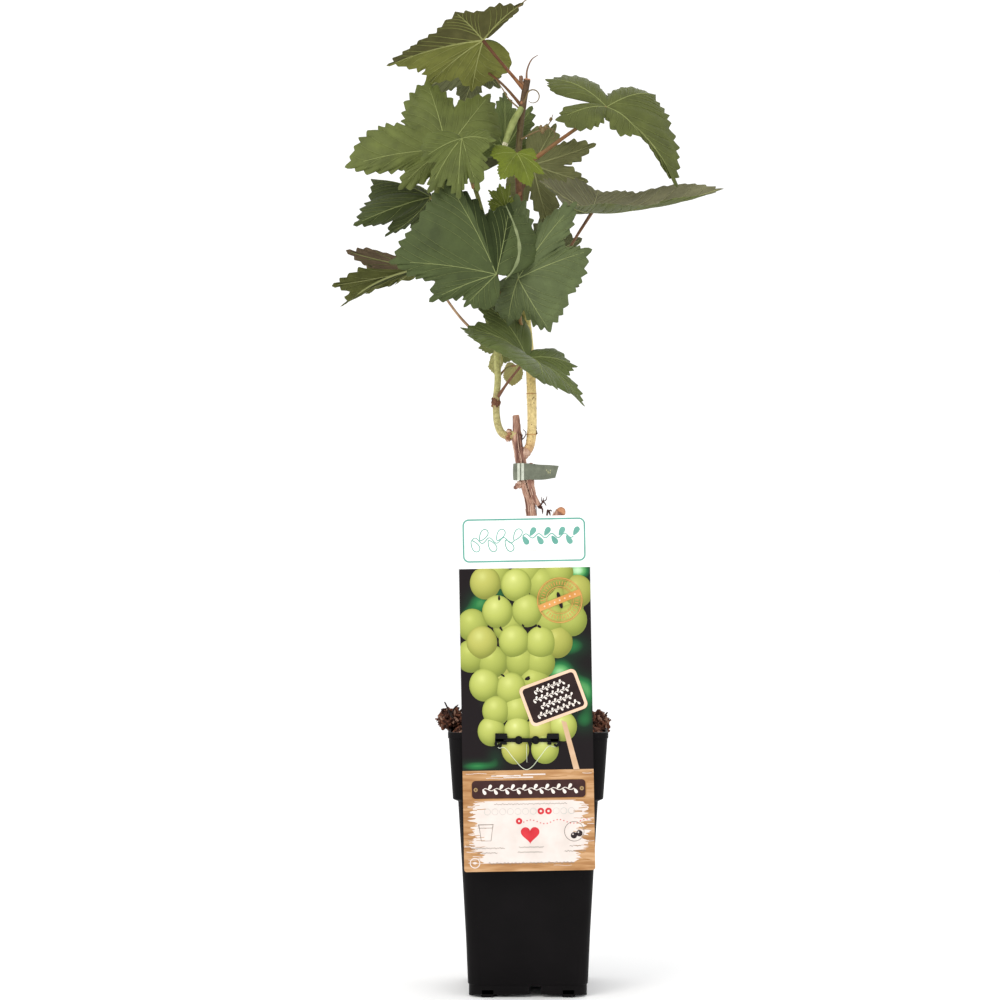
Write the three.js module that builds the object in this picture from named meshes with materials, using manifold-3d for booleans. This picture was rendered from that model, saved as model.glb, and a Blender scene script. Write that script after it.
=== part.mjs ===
// A young grapevine in a deep square nursery pot, with a hanging picture label.
// Units are millimetres, +Z is up, and the front of the pot faces -Y.
// The origin is the centre of the pot's underside, on the ground.
import * as THREE from "three";
import Module from "manifold-3d";
import { mergeVertices } from "three/addons/utils/BufferGeometryUtils.js";

const wasm = await Module();
wasm.setup();

// ---- Driving dimensions ----
const GAP = 0.4; // clearance kept between neighbouring pieces

const POT_HEIGHT = 217.5;
const RIM_HALF = 65; // half the width of the square rim
const COLLAR_FOOT_HALF = 61.3;
const BODY_TOP_HALF = 57.1;
const BODY_FOOT_HALF = 49.2;
const SKIRT_HALF = 48.4;
const COLLAR_BOTTOM = 162.5; // height of the step under the collar
const SKIRT_TOP = 10; // height of the step above the skirt
const FOOT_HEIGHT = 2;
const POT_CORNER = 9; // radius of the upright corners
const POT_WALL = 2;
const POT_FLOOR = 13; // height of the inside floor
const DRAIN_CHANNEL = { x: 6, half: 4.6, top: 9 }; // runs under the floor from front to back
const FOOT_SPREAD = 33; // distance of each foot from the pot's middle planes
const FOOT_LENGTH = 10;

const SOIL_RIM_LEVEL = 212;
const SOIL_CROWN = 226; // level of the soil round the trunk
const CLODS = [
  { at: [-63, -6, 223], radii: [11, 18, 9] },
  { at: [59.5, -10, 222], radii: [7, 15, 9] },
  { at: [-30, 48, 219], radii: [14, 9, 7] },
];

const CARD = { width: 106, height: 287, thick: 0.8, middle: -1.3, bottom: 106, front: -69.8, lean: -1 };
const CLIP = { half: 26, bottom: 206.5, top: 217.5, bar: 2.2, post: 4.5, thick: 1.6 };

const TIE = { low: 422.6, high: 436.4, thick: 1, reach: 24.5, tail: 12.5 };

const STALK_SIDES = 5;
const PAD_STATIONS = 36; // margin points of a large leaf
const SMALL_PAD_STATIONS = 20;
const PAD_HALF = 2.1; // half the thickness of a foliage mass near its middle
const STALK_SHORT = 2.4; // how far short of the leaf's joint its stalk ends
const PAD_MIDDLE = 0.55; // where the inner ring of a mass lies between stalk and margin

// ---- Materials ----
const finish = (color, roughness) => new THREE.MeshStandardMaterial({ color, roughness });
const FINISH = {
  pot: finish(0x1c1a1b, 0.5),
  soil: finish(0x3b2119, 0.95),
  card: finish(0xd8c8b4, 0.35),
  clip: finish(0x161618, 0.45),
  tie: finish(0x6e7260, 0.5),
  bark: finish(0x6d4c3f, 0.9),
  youngCane: finish(0xb6ac62, 0.7),
  straw: finish(0xd9c27e, 0.7),
  stalk: finish(0x8a6a4c, 0.7),
  leafTop: finish(0x4f6333, 0.6),
  leafPale: finish(0x67741f, 0.6),
};

// ---- Solids ----
function solid(geometry) {
  const plain = geometry.clone();
  plain.deleteAttribute("normal");
  plain.deleteAttribute("uv");
  const merged = mergeVertices(plain, 1e-4);
  return new wasm.Manifold(
    new wasm.Mesh({
      numProp: 3,
      vertProperties: new Float32Array(merged.attributes.position.array),
      triVerts: new Uint32Array(merged.index.array),
    }),
  );
}

function geometryOf(manifold) {
  const mesh = manifold.getMesh();
  const geometry = new THREE.BufferGeometry();
  geometry.setAttribute("position", new THREE.BufferAttribute(mesh.vertProperties, 3));
  geometry.setIndex(new THREE.BufferAttribute(mesh.triVerts, 1));
  return geometry;
}

function largestBody(manifold) {
  const bodies = manifold.decompose();
  return bodies.reduce((best, body) => (body.volume() > best.volume() ? body : best));
}

function indexed(points, faces) {
  const geometry = new THREE.BufferGeometry().setFromPoints(points);
  geometry.setIndex(faces);
  return geometry;
}

function box(width, depth, height, x, y, z) {
  return solid(new THREE.BoxGeometry(width, depth, height).translate(x, y, z));
}

function boxesOverlap(a, b) {
  const p = a.boundingBox();
  const q = b.boundingBox();
  return [0, 1, 2].every((i) => p.min[i] < q.max[i] && q.min[i] < p.max[i]);
}

// Skin over a stack of closed rings that run counter-clockwise seen from above, with both ends capped.
function skin(rings) {
  const count = rings[0].length;
  const points = rings.flat();
  const faces = [];
  for (let r = 0; r + 1 < rings.length; r++)
    for (let i = 0; i < count; i++) {
      const j = (i + 1) % count;
      const [a, b, c, d] = [r * count + i, r * count + j, (r + 1) * count + i, (r + 1) * count + j];
      faces.push(a, b, d, a, d, c);
    }
  for (const [ring, flip] of [[0, true], [rings.length - 1, false]]) {
    const centre = points.length;
    const sum = rings[ring].reduce((total, p) => total.add(p), new THREE.Vector3());
    points.push(sum.divideScalar(count));
    for (let i = 0; i < count; i++) {
      const a = ring * count + i;
      const b = ring * count + ((i + 1) % count);
      if (flip) faces.push(centre, b, a);
      else faces.push(centre, a, b);
    }
  }
  return indexed(points, faces);
}

// A square ring with round corners; height is a number or a function of x and y.
function squareRing(half, corner, height, cornerSteps = 3) {
  const ring = [];
  for (let quarter = 0; quarter < 4; quarter++)
    for (let step = 0; step <= cornerSteps; step++) {
      const turn = (quarter + step / cornerSteps) * (Math.PI / 2);
      const middle = (quarter + 0.5) * (Math.PI / 2);
      const inset = (half - corner) * Math.SQRT2;
      const x = inset * Math.cos(middle) + corner * Math.cos(turn);
      const y = inset * Math.sin(middle) + corner * Math.sin(turn);
      ring.push(new THREE.Vector3(x, y, typeof height === "number" ? height : height(x, y)));
    }
  return ring;
}

// A tapering limb along a smooth path, with flat ends. radiusAt takes 0 at the foot and 1 at the tip.
function limb(path, radiusAt, steps, sides) {
  const curve = new THREE.CatmullRomCurve3(path.map((p) => new THREE.Vector3(...p)), false, "centripetal");
  const rings = [];
  let side = null;
  for (let k = 0; k <= steps; k++) {
    const tangent = curve.getTangentAt(k / steps);
    if (!side) {
      const reference = Math.abs(tangent.y) < 0.9 ? new THREE.Vector3(0, 1, 0) : new THREE.Vector3(1, 0, 0);
      side = reference.cross(tangent).normalize();
    }
    side.addScaledVector(tangent, -side.dot(tangent)).normalize();
    const across = tangent.clone().cross(side);
    const centre = curve.getPointAt(k / steps);
    const radius = radiusAt(k / steps);
    const ring = [];
    for (let i = 0; i < sides; i++) {
      const turn = (i / sides) * 2 * Math.PI;
      const point = centre.clone().addScaledVector(side, radius * Math.cos(turn));
      ring.push(point.addScaledVector(across, radius * Math.sin(turn)));
    }
    rings.push(ring);
  }
  return skin(rings);
}

// Radius between named values spread evenly from foot to tip, swollen at the nodes of the stem.
function taper(radii, nodes = [], swelling = 0.2) {
  return (t) => {
    const at = t * (radii.length - 1);
    const i = Math.min(radii.length - 2, Math.floor(at));
    const plain = radii[i] + (radii[i + 1] - radii[i]) * (at - i);
    const swell = nodes.reduce((sum, node) => sum + Math.exp(-(((t - node) / 0.02) ** 2)), 0);
    return plain * (1 + swelling * swell);
  };
}

// ---- Pot ----
function makePot(grow = 0) {
  const outer = (half, z) => squareRing(half + grow, POT_CORNER + grow, z);
  const shell = solid(
    skin([
      outer(SKIRT_HALF, FOOT_HEIGHT - grow),
      outer(SKIRT_HALF, SKIRT_TOP - 0.4),
      outer(BODY_FOOT_HALF, SKIRT_TOP),
      outer(BODY_TOP_HALF, COLLAR_BOTTOM - 2 - grow),
      outer(COLLAR_FOOT_HALF, COLLAR_BOTTOM - grow),
      outer(RIM_HALF, POT_HEIGHT + grow),
    ]),
  );
  const inner = (half, z) => squareRing(half - POT_WALL - grow, POT_CORNER - POT_WALL - grow, z);
  const inside = solid(
    skin([
      inner(BODY_FOOT_HALF, POT_FLOOR + grow),
      inner(BODY_TOP_HALF, COLLAR_BOTTOM + 1),
      inner(COLLAR_FOOT_HALF, COLLAR_BOTTOM + 3 + grow),
      inner(RIM_HALF, POT_HEIGHT + 1 + grow),
    ]),
  );
  let pot = shell.subtract(inside);
  if (grow > 0) return pot;
  const recess = solid(skin([inner(SKIRT_HALF, 0), inner(SKIRT_HALF, SKIRT_TOP)]));
  const { x, half, top } = DRAIN_CHANNEL;
  pot = pot.subtract(recess).subtract(box(2 * half, 4 * RIM_HALF, top, x, 0, top / 2));
  const reach = SKIRT_HALF - POT_WALL / 2;
  for (const a of [-FOOT_SPREAD, FOOT_SPREAD])
    for (const b of [-reach, reach]) {
      pot = pot.add(box(FOOT_LENGTH, POT_WALL, 3 * FOOT_HEIGHT, a, b, 1.5 * FOOT_HEIGHT));
      pot = pot.add(box(POT_WALL, FOOT_LENGTH, 3 * FOOT_HEIGHT, b, a, 1.5 * FOOT_HEIGHT));
    }
  return pot;
}

// ---- Soil: fills the pot, heaps up unevenly, and lies over the rim in two clods ----
function soilHeight(x, y) {
  const nearTrunk = Math.hypot(x - 4, y);
  if (nearTrunk < 14) return SOIL_CROWN;
  const edge = Math.max(Math.abs(x), Math.abs(y)) / RIM_HALF;
  const mound = SOIL_RIM_LEVEL + (SOIL_CROWN - SOIL_RIM_LEVEL) * (1 - edge ** 3);
  const uneven = 1.6 * Math.sin(0.21 * x + 1) * Math.cos(0.17 * y) + 1.1 * Math.sin(0.33 * y - 0.2 * x);
  return Math.min(SOIL_CROWN, mound + uneven);
}

function makeSoil(grow = 0) {
  const half = (outside) => outside - POT_WALL - GAP + grow;
  const corner = POT_CORNER - POT_WALL;
  const rings = [
    squareRing(half(BODY_FOOT_HALF), corner, POT_FLOOR + GAP - grow),
    squareRing(half(BODY_TOP_HALF), corner, COLLAR_BOTTOM + 1),
    squareRing(half(COLLAR_FOOT_HALF), corner, COLLAR_BOTTOM + 3.6),
    squareRing(half(RIM_HALF) - 0.3, corner, SOIL_RIM_LEVEL - 2),
  ];
  for (const share of [0.9, 0.6, 0.3])
    rings.push(squareRing(share * RIM_HALF, share * corner, (x, y) => soilHeight(x, y) + grow));
  let soil = solid(skin(rings));
  for (const clod of CLODS) {
    const lump = new THREE.IcosahedronGeometry(1, 1);
    lump.scale(...clod.radii.map((radius) => radius + grow)).translate(...clod.at);
    soil = soil.add(solid(lump));
  }
  return soil;
}

// ---- Label: a card with a slot, and the clip that hooks it over the rim ----
function leaning(geometry) {
  geometry.rotateY(THREE.MathUtils.degToRad(CARD.lean));
  return geometry.translate(CARD.middle, 0, CARD.bottom + CARD.height / 2);
}

function makeCard(grow = 0) {
  const plate = new THREE.BoxGeometry(CARD.width + 2 * grow, CARD.thick + 2 * grow, CARD.height + 2 * grow);
  const card = solid(leaning(plate.translate(0, CARD.front + CARD.thick / 2, 0)));
  const slotHeight = 2 * CLIP.post;
  return card.subtract(box(2 * CLIP.half - 6, 10, slotHeight, -1, CARD.front, CLIP.top - slotHeight / 2 - 1));
}

function makeClip(grow = 0) {
  const front = CARD.front - GAP - CLIP.bar / 2;
  const back = CARD.front + CARD.thick + GAP + CLIP.thick / 2;
  const inside = -RIM_HALF + POT_WALL + 1 + CLIP.thick / 2;
  const middle = (CLIP.bottom + CLIP.top) / 2;
  const height = CLIP.top - CLIP.bottom;
  const g = 2 * grow;
  let clip = box(2 * CLIP.half + g, CLIP.bar + g, 3.4 + g, -1, front, middle);
  for (const side of [-1, 1]) {
    const x = -1 + side * (CLIP.half - 5);
    clip = clip.add(box(10 + g, CLIP.bar + g, height + g, x, front, middle));
    const bump = new THREE.CylinderGeometry(3.4 + grow, 3.4 + grow, CLIP.bar + g, 12);
    clip = clip.add(solid(bump.translate(-1 + side * 6.8, front, middle)));
    // bridge through the slot, then up, over the rim and down inside it
    const hookX = -1 + side * (CLIP.half - 8);
    const post = CLIP.post + g;
    const thick = CLIP.thick + g;
    const top = POT_HEIGHT + GAP + CLIP.thick / 2;
    const rise = top - middle + CLIP.thick / 2;
    clip = clip.add(box(post, back - front + thick, post, hookX, (front + back) / 2, middle + 1));
    clip = clip.add(box(post, thick, rise + g, hookX, back, middle + rise / 2));
    clip = clip.add(box(post, inside - back + thick, thick, hookX, (inside + back) / 2, top));
    clip = clip.add(box(post, thick, 14 + g, hookX, inside, top + CLIP.thick / 2 - 7));
  }
  return clip;
}

// ---- Trunk and canes ----
const TRUNK_PATH = [
  [4, 0, SOIL_CROWN + GAP], [4, 0, 290], [3.6, 0, 350], [3.4, 0, 392], [1.2, 0, 409],
  [-3, 0, 423], [-5.8, 0, 440], [-7.8, 0, 450], [-8.8, 0, 462], [-9.5, 0, 476.4],
];
const SPUR_PATH = [[5, 0, 352], [14, -2, 372], [21.5, -4, 386], [27.5, -5, 395.5]];
const SHOOT_LEFT_PATH = [
  [-9, 0, 461.5], [-15.5, 0, 459.6], [-21, 0, 461.5], [-24.8, 0, 469], [-26.2, 0, 488], [-24.8, 0, 506],
  [-25.4, 0, 531], [-24.6, -2, 558], [-26, -4, 580], [-31, -6, 615], [-39.6, -7, 652], [-49.6, -8, 682],
];
const SHOOT_RIGHT_PATH = [
  [-3.6, 2, 444], [1, 1, 449], [3.4, 0, 461], [3.4, 0, 495], [3, 0, 506], [1.3, 0, 535],
  [-0.8, 0, 556], [-3.7, 0, 590], [-6.2, 0, 627], [-7, 0, 661], [-7.8, 0, 686], [-6.2, 0, 715],
  [-3.5, 0, 738], [-0.3, 0, 756.7],
];
const SIDE_SHOOT_PATH = [[-5, -1, 733], [-12, -7, 720], [-18.5, -9, 703]];

// How thick each limb is along its path, and how many steps and sides draw it.
const LIMBS = {
  trunk: {
    path: TRUNK_PATH, radius: taper([8.5, 5.8, 5.5, 5.2, 5, 4.9, 4.4, 2.6], [0.93]), steps: 24, sides: 8,
  },
  pruned_spur: { path: SPUR_PATH, radius: taper([3.6, 3.8, 4.3]), steps: 5, sides: 8 },
  shoot_left: {
    path: SHOOT_LEFT_PATH, radius: taper([3.4, 2.8, 2.7, 2.5, 2.2, 1.9, 1.6], [0.17]), steps: 30, sides: 5,
  },
  shoot_right: {
    path: SHOOT_RIGHT_PATH, radius: taper([3.8, 4, 3.6, 3.2, 2.9, 2.7, 2.9], [0.06, 0.16, 0.93]),
    steps: 28, sides: 8,
  },
  side_shoot: { path: SIDE_SHOOT_PATH, radius: taper([2.6, 3, 2.4]), steps: 4, sides: 8 },
};

function makeLimb(name, grow = 0) {
  const { path, radius, steps, sides } = LIMBS[name];
  return solid(limb(path, (t) => radius(t) + grow, steps, sides));
}

// The tie goes once round the trunk and ends in a free tail on the right.
function makeTie(grow = 0) {
  const height = TIE.high - TIE.low;
  const middle = (TIE.high + TIE.low) / 2;
  const g = 2 * grow;
  const sleeve = new THREE.CylinderGeometry(6.6 + grow, 6.9 + grow, height + g, 16);
  sleeve.rotateX(Math.PI / 2).translate(-4.4, 0, middle);
  const tail = box(TIE.reach + 2 + g, TIE.thick + g, TIE.tail + g, TIE.reach / 2 - 1, -5.6, middle - 0.6);
  return solid(sleeve).add(tail);
}

// ---- Foliage ----
// A leaf mass: its stalk joins it at a point, and five lobes spread from there, listed from one side
// of the stalk to the other as they lie on the upper face. Each lobe is [bearing, reach, back]:
// degrees clockwise from straight up as the front sees it, millimetres in that plane, millimetres back.
// cut is how deep the bays between lobes go, and heel how far the blade turns back to the stalk.
const LEAVES = {
  top: {
    at: [-37, 0, 790], cut: [-0.1, 0, 0.1, 0.1], heel: [8, 85], arch: 0.06,
    lobes: [[55, 38, -42], [-54, 26, -30], [-105, 80, 5], [-125, 57, 30], [-164, 35, 38]],
  },
  upper_left: {
    at: [-67, -15, 696], cut: [0.5, 0.6, 0.55, 0.4],
    lobes: [[-169, 42, -30], [-132, 50, -20], [-100, 82, -10], [-16, 61, 20], [35, 59, 30]],
  },
  hanging: {
    at: [-54, -42, 702], cut: [0.15, 0.15, 0.15, 0.15], arch: 0.12,
    lobes: [[97, 25, -10], [164, 45, -30], [-177, 50, -38], [-151, 52, -30], [-121, 36, -18]],
  },
  behind_tip: {
    at: [-19, 45, 704], cut: [0.3, 0.3, 0.3, 0.3],
    lobes: [[-62, 36, 10], [-25, 55, 17], [0, 52, 25], [31, 45, 17], [87, 27, 10]],
  },
  young_front: {
    at: [-9, -40, 690], cut: [0.2, 0.2, 0.2, 0.2], small: true,
    lobes: [[106, 16, -8], [131, 28, -20], [160, 32, -32], [-150, 27, -22], [-96, 21, -10]],
  },
  young_cupped: {
    at: [-18, -30, 647], cut: [0.1, 0.1, 0.1, 0.1], small: true,
    lobes: [[-72, 15, -4], [-47, 19, -8], [-16, 18, -12], [10, 18, -8], [32, 9, -4]],
  },
  upper_right: {
    at: [66, 0, 734], cut: [1.3, -0.15, 0.1, 1.3], heel: [35, 30], arch: 0.1,
    lobes: [[-58, 56, 35], [68, 45, 32], [137, 86, 0], [133, 36, -14], [-110, 43, -28]],
  },
  right: {
    at: [5, 40, 691], cut: [0.6, 0.6, 0.6, 0.4],
    lobes: [[-159, 37, -6], [165, 51, 0], [107, 46, 5], [71, 54, 8], [29, 38, 5]],
  },
  far_right: {
    at: [54, 0, 646], cut: [0.15, 0.15, 0.15, 0.15], arch: 0.04,
    lobes: [[-84, 20, -40], [88, 46, -42], [79, 109, 8], [16, 25, 50], [-59, 48, -12]],
  },
  left: {
    at: [-81, 0, 659], cut: [0.2, 0.35, -0.05, 0.2], heel: [30, 30],
    lobes: [[-151, 29, 20], [-131, 47, 6], [-112, 65, -20], [-73, 50, 18], [-52, 18, 30]],
  },
  lower_left: {
    at: [-84, 32, 603], cut: [0.5, 0.2, 0.1, 0.2], heel: [12, 30],
    lobes: [[-80, 66, -20], [-103, 78, -32], [-116, 77, -28], [-112, 53, 8], [-114, 29, 20]],
  },
  centre: {
    at: [-26, -62, 589], cut: [0.1, 0.15, -0.08, 0.2], heel: [22, 24], arch: 0.1,
    lobes: [[-136, 35, -10], [-113, 56, -16], [-84, 84, -10], [-28, 84, 4], [10, 57, 12]],
  },
  centre_right: {
    at: [-8, -48, 587], cut: [0.75, 0.5, 0.05, 0.4], heel: [30, 40],
    lobes: [[-1, 68, 16], [37, 76, 8], [70, 61, -8], [149, 49, -10], [-168, 36, 8]],
  },
  lowest: {
    at: [-1, -26, 523], cut: [0.35, 0.1, 0, 0.35], arch: 0.1,
    lobes: [[98, 40, 16], [130, 59, -22], [148, 25, -56], [-65, 56, -18], [-37, 60, 12]],
  },
  small_left: {
    at: [-25, 22, 529], cut: [0.2, 0.2, 0.2, 0.2], small: true,
    lobes: [[-111, 6, 4], [-143, 13, 2], [-171, 17, 0], [164, 12, 0], [119, 5, 4]],
  },
  small_right: {
    at: [-10, 18, 519], cut: [0.2, 0.2, 0.2, 0.2], small: true,
    lobes: [[-99, 9, 4], [-135, 14, 2], [-171, 17, 0], [151, 12, 2], [118, 7, 4]],
  },
  back_upper: {
    at: [-49, 62, 689], cut: [0.35, 0.35, 0.35, 0.35],
    lobes: [[36, 43, 4], [0, 55, 12], [-37, 57, 18], [-77, 45, 14], [-106, 27, 8]],
  },
  back_left: {
    at: [-56, 62, 629], cut: [0.35, 0.35, 0.35, 0.35],
    lobes: [[47, 33, 8], [-16, 33, 16], [-64, 41, 22], [-112, 47, 18], [-141, 30, 8]],
  },
  back_right: {
    at: [7, 60, 610], cut: [0.35, 0.35, 0.35, 0.35],
    lobes: [[174, 41, 12], [117, 39, 22], [61, 43, 24], [12, 43, 16], [-31, 25, 8]],
  },
  back_low: {
    at: [-16, 40, 540], cut: [0.35, 0.35, 0.35, 0.35], small: true,
    lobes: [[59, 18, 6], [-2, 24, 14], [-43, 28, 18], [-99, 25, 14], [-161, 18, 8]],
  },
  back_top: {
    at: [-42, 40, 776], cut: [0.35, 0.35, 0.35, 0.35],
    lobes: [[0, 20, 10], [-80, 36, 18], [-109, 50, 20], [-159, 34, 14], [135, 24, 6]],
  },
};
const DEFAULT_HEEL = [62, 62];
const DEFAULT_ARCH = 0.08;

function turnBetween(a, b, share) {
  const angle = Math.acos(THREE.MathUtils.clamp(a.dot(b), -1, 1));
  if (angle < 1e-3) return a.clone();
  const point = a.clone().multiplyScalar(Math.sin((1 - share) * angle));
  return point.addScaledVector(b, Math.sin(share * angle)).normalize();
}

// Direction and reach of the blade at a station: 0 to 4 are the lobe tips, -1 and 5 the two heels.
function bladeRay(leaf, station) {
  const tips = leaf.lobes.map(([bearing, reach, back]) => {
    const turn = THREE.MathUtils.degToRad(bearing);
    return new THREE.Vector3(reach * Math.sin(turn), back, reach * Math.cos(turn));
  });
  const reaches = tips.map((tip) => tip.length());
  const ways = tips.map((tip, i) => tip.divideScalar(reaches[i]));
  if (station < 0 || station > 4) {
    const left = station < 0;
    const [a, b, reach] = left ? [ways[1], ways[0], reaches[0]] : [ways[3], ways[4], reaches[4]];
    const past = left ? -station : station - 4;
    const turn = THREE.MathUtils.degToRad((leaf.heel ?? DEFAULT_HEEL)[left ? 0 : 1]);
    const angle = Math.max(0.3, Math.acos(THREE.MathUtils.clamp(a.dot(b), -1, 1)));
    const share = past < 0.5 ? 1 - 0.4 * past : 0.8 - 0.7 * (2 * past - 1) ** 1.3;
    return { way: turnBetween(a, b, 1 + (past * turn) / angle), reach: reach * share };
  }
  const i = Math.min(3, Math.floor(station));
  const t = station - i;
  const cut = leaf.cut[i];
  const shorter = Math.min(reaches[i], reaches[i + 1]);
  const bay = (0.44 - 0.25 * cut) * (shorter + (reaches[i] + reaches[i + 1]) / 2);
  const [nearest, rise] = t < 0.5 ? [reaches[i], 1 - 2 * t] : [reaches[i + 1], 2 * t - 1];
  const fullness = 1 + 0.9 * Math.max(0, cut);
  const reach = bay + (nearest - bay) * (1 - (1 - rise) ** fullness);
  return { way: turnBetween(ways[i], ways[i + 1], t), reach };
}

function bladeNormal(leaf, station) {
  const before = bladeRay(leaf, Math.max(-1, station - 0.25)).way;
  const after = bladeRay(leaf, Math.min(5, station + 0.25)).way;
  return after.cross(before).normalize();
}

// The mass is joined up from wedges that run out from the joint: a flat inner one to the middle of the
// blade, and a tapering outer one to its margin.
function makeLeaf(leaf, grow = 0) {
  const stations = leaf.small ? SMALL_PAD_STATIONS : PAD_STATIONS;
  const thick = leaf.small ? 0.5 * PAD_HALF : PAD_HALF;
  const joint = new THREE.Vector3(...leaf.at);
  const arch = leaf.arch ?? DEFAULT_ARCH;
  const ribs = [];
  const mean = new THREE.Vector3();
  for (let k = 0; k < stations; k++) {
    const station = -1 + (6 * k) / (stations - 1);
    const { way, reach } = bladeRay(leaf, station);
    const up = bladeNormal(leaf, station);
    mean.add(up);
    const margin = joint.clone().addScaledVector(way, reach + 2.5 * grow);
    const middle = joint.clone().addScaledVector(way, PAD_MIDDLE * reach);
    middle.addScaledVector(up, 4 * arch * reach * PAD_MIDDLE * (1 - PAD_MIDDLE));
    const half = thick * (1 + 0.3 * Math.sin(5 * station)) + grow;
    const faces = [middle.clone().addScaledVector(up, half), middle.clone().addScaledVector(up, -half)];
    ribs.push({ margin, faces });
  }
  mean.normalize();
  const half = 0.6 * thick + grow;
  const hub = [joint.clone().addScaledVector(mean, half), joint.clone().addScaledVector(mean, -half)];
  const wedge = (points) => wasm.Manifold.hull(points.map((point) => point.toArray()));
  const wedges = [];
  for (let k = 0; k + 1 < stations; k++) {
    const [a, b] = [ribs[k], ribs[k + 1]];
    wedges.push(wedge([...hub, ...a.faces, ...b.faces]), wedge([...a.faces, ...b.faces, a.margin, b.margin]));
  }
  return wasm.Manifold.union(wedges);
}

// Leaf stalks: the point inside the cane where each starts, points it passes, and its radius.
const STALKS = {
  top: { from: [-2, 0, 748], via: [[-22, -2, 771]], radius: 1.3 },
  upper_left: { from: [-48, -8, 678], via: [[-58, -12, 690]], radius: 1.6 },
  hanging: { from: [-44.6, -7, 666], via: [[-52, -30, 688]], radius: 1.3 },
  behind_tip: { from: [-7, 0, 668], via: [[-13, 24, 690]], radius: 1.2 },
  young_front: { from: [-7.6, 0, 681], via: [[-8, -22, 688]], radius: 0.9 },
  young_cupped: { from: [-6.4, 0, 636], via: [[-12, -16, 640]], radius: 0.9 },
  upper_right: { from: [-7.5, 0, 684], via: [[5, -5, 690], [30, -4, 708]], radius: 1.6 },
  right: { from: [-7, 0, 660], via: [[0, 22, 678]], radius: 1.3 },
  far_right: { from: [-2, 0, 571], via: [[20, 6, 592], [42, 4, 628]], radius: 1.25 },
  left: { from: [-34.6, -6, 631], via: [[-58, -6, 648]], radius: 1.3 },
  lower_left: { from: [-25.4, 0, 531], via: [[-49.6, 8, 552], [-65, 17, 571]], radius: 1.1 },
  centre: { from: [-24.6, -2.5, 563], via: [[-23, -30, 570]], radius: 1.4 },
  centre_right: { from: [0.6, 0, 543], via: [[-5.5, -14, 552], [-7, -33, 570]], radius: 1.3 },
  lowest: { from: [-26, 0, 490], via: [[-16.4, -8, 504], [-6.4, -18, 516]], radius: 1.05 },
  small_left: { from: [-25, 0, 521], via: [[-25, 12, 528]], radius: 0.8 },
  small_right: { from: [-24.8, 0, 508], via: [[-17, 10, 517]], radius: 0.8 },
  back_upper: { from: [-41, -7, 657], via: [[-44, 28, 672]], radius: 1.3 },
  back_left: { from: [-33.6, -6, 625], via: [[-42, 28, 620]], radius: 1.3 },
  back_right: { from: [-4, 0, 592], via: [[0, 30, 598]], radius: 1.3 },
  back_low: { from: [1.5, 0, 531], via: [[-7, 22, 534]], radius: 1 },
  back_top: { from: [-4, 0, 734], via: [[-22, 24, 758]], radius: 1.1 },
};

function makeStalk(name, grow = 0) {
  const { from, via, radius } = STALKS[name];
  const joint = new THREE.Vector3(...LEAVES[name].at);
  const arrival = new THREE.Vector3(...via[via.length - 1]).sub(joint).normalize();
  const path = [from, ...via, joint.addScaledVector(arrival, STALK_SHORT).toArray()];
  return solid(limb(path, (t) => radius * (1.15 - 0.25 * t) + grow, 2 * path.length - 2, STALK_SIDES));
}

// ---- Assembly: each piece gives way to the pieces placed before it ----
const vine = new THREE.Group();
const placed = [];

function place(name, make, material) {
  let body = make(0);
  for (const earlier of placed) if (boxesOverlap(body, earlier)) body = body.subtract(earlier);
  body = largestBody(body);
  const mesh = new THREE.Mesh(geometryOf(body), material);
  mesh.name = name;
  vine.add(mesh);
  placed.push(make(GAP));
}

place("pot", makePot, FINISH.pot);
place("label_card", makeCard, FINISH.card);
place("label_clip", makeClip, FINISH.clip);
place("soil", makeSoil, FINISH.soil);
const placeLimb = (name, material) => place(name, (grow) => makeLimb(name, grow), material);
placeLimb("trunk", FINISH.bark);
place("tie_band", makeTie, FINISH.tie);
placeLimb("pruned_spur", FINISH.bark);
placeLimb("shoot_left", FINISH.youngCane);
placeLimb("shoot_right", FINISH.straw);
placeLimb("side_shoot", FINISH.youngCane);
for (const [name, leaf] of Object.entries(LEAVES))
  place("foliage_" + name, (grow) => makeLeaf(leaf, grow), leaf.small ? FINISH.leafPale : FINISH.leafTop);
for (const name of Object.keys(STALKS)) place("stalk_" + name, (grow) => makeStalk(name, grow), FINISH.stalk);

export default vine;
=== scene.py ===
# A young grapevine in a deep square nursery pot, with a hanging picture label.
# Shapes are worked out in millimetres and each mesh is made in metres. +Z is up and the front faces -Y.
import math

import bmesh
import bpy
import numpy as np
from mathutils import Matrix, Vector, noise


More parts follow.
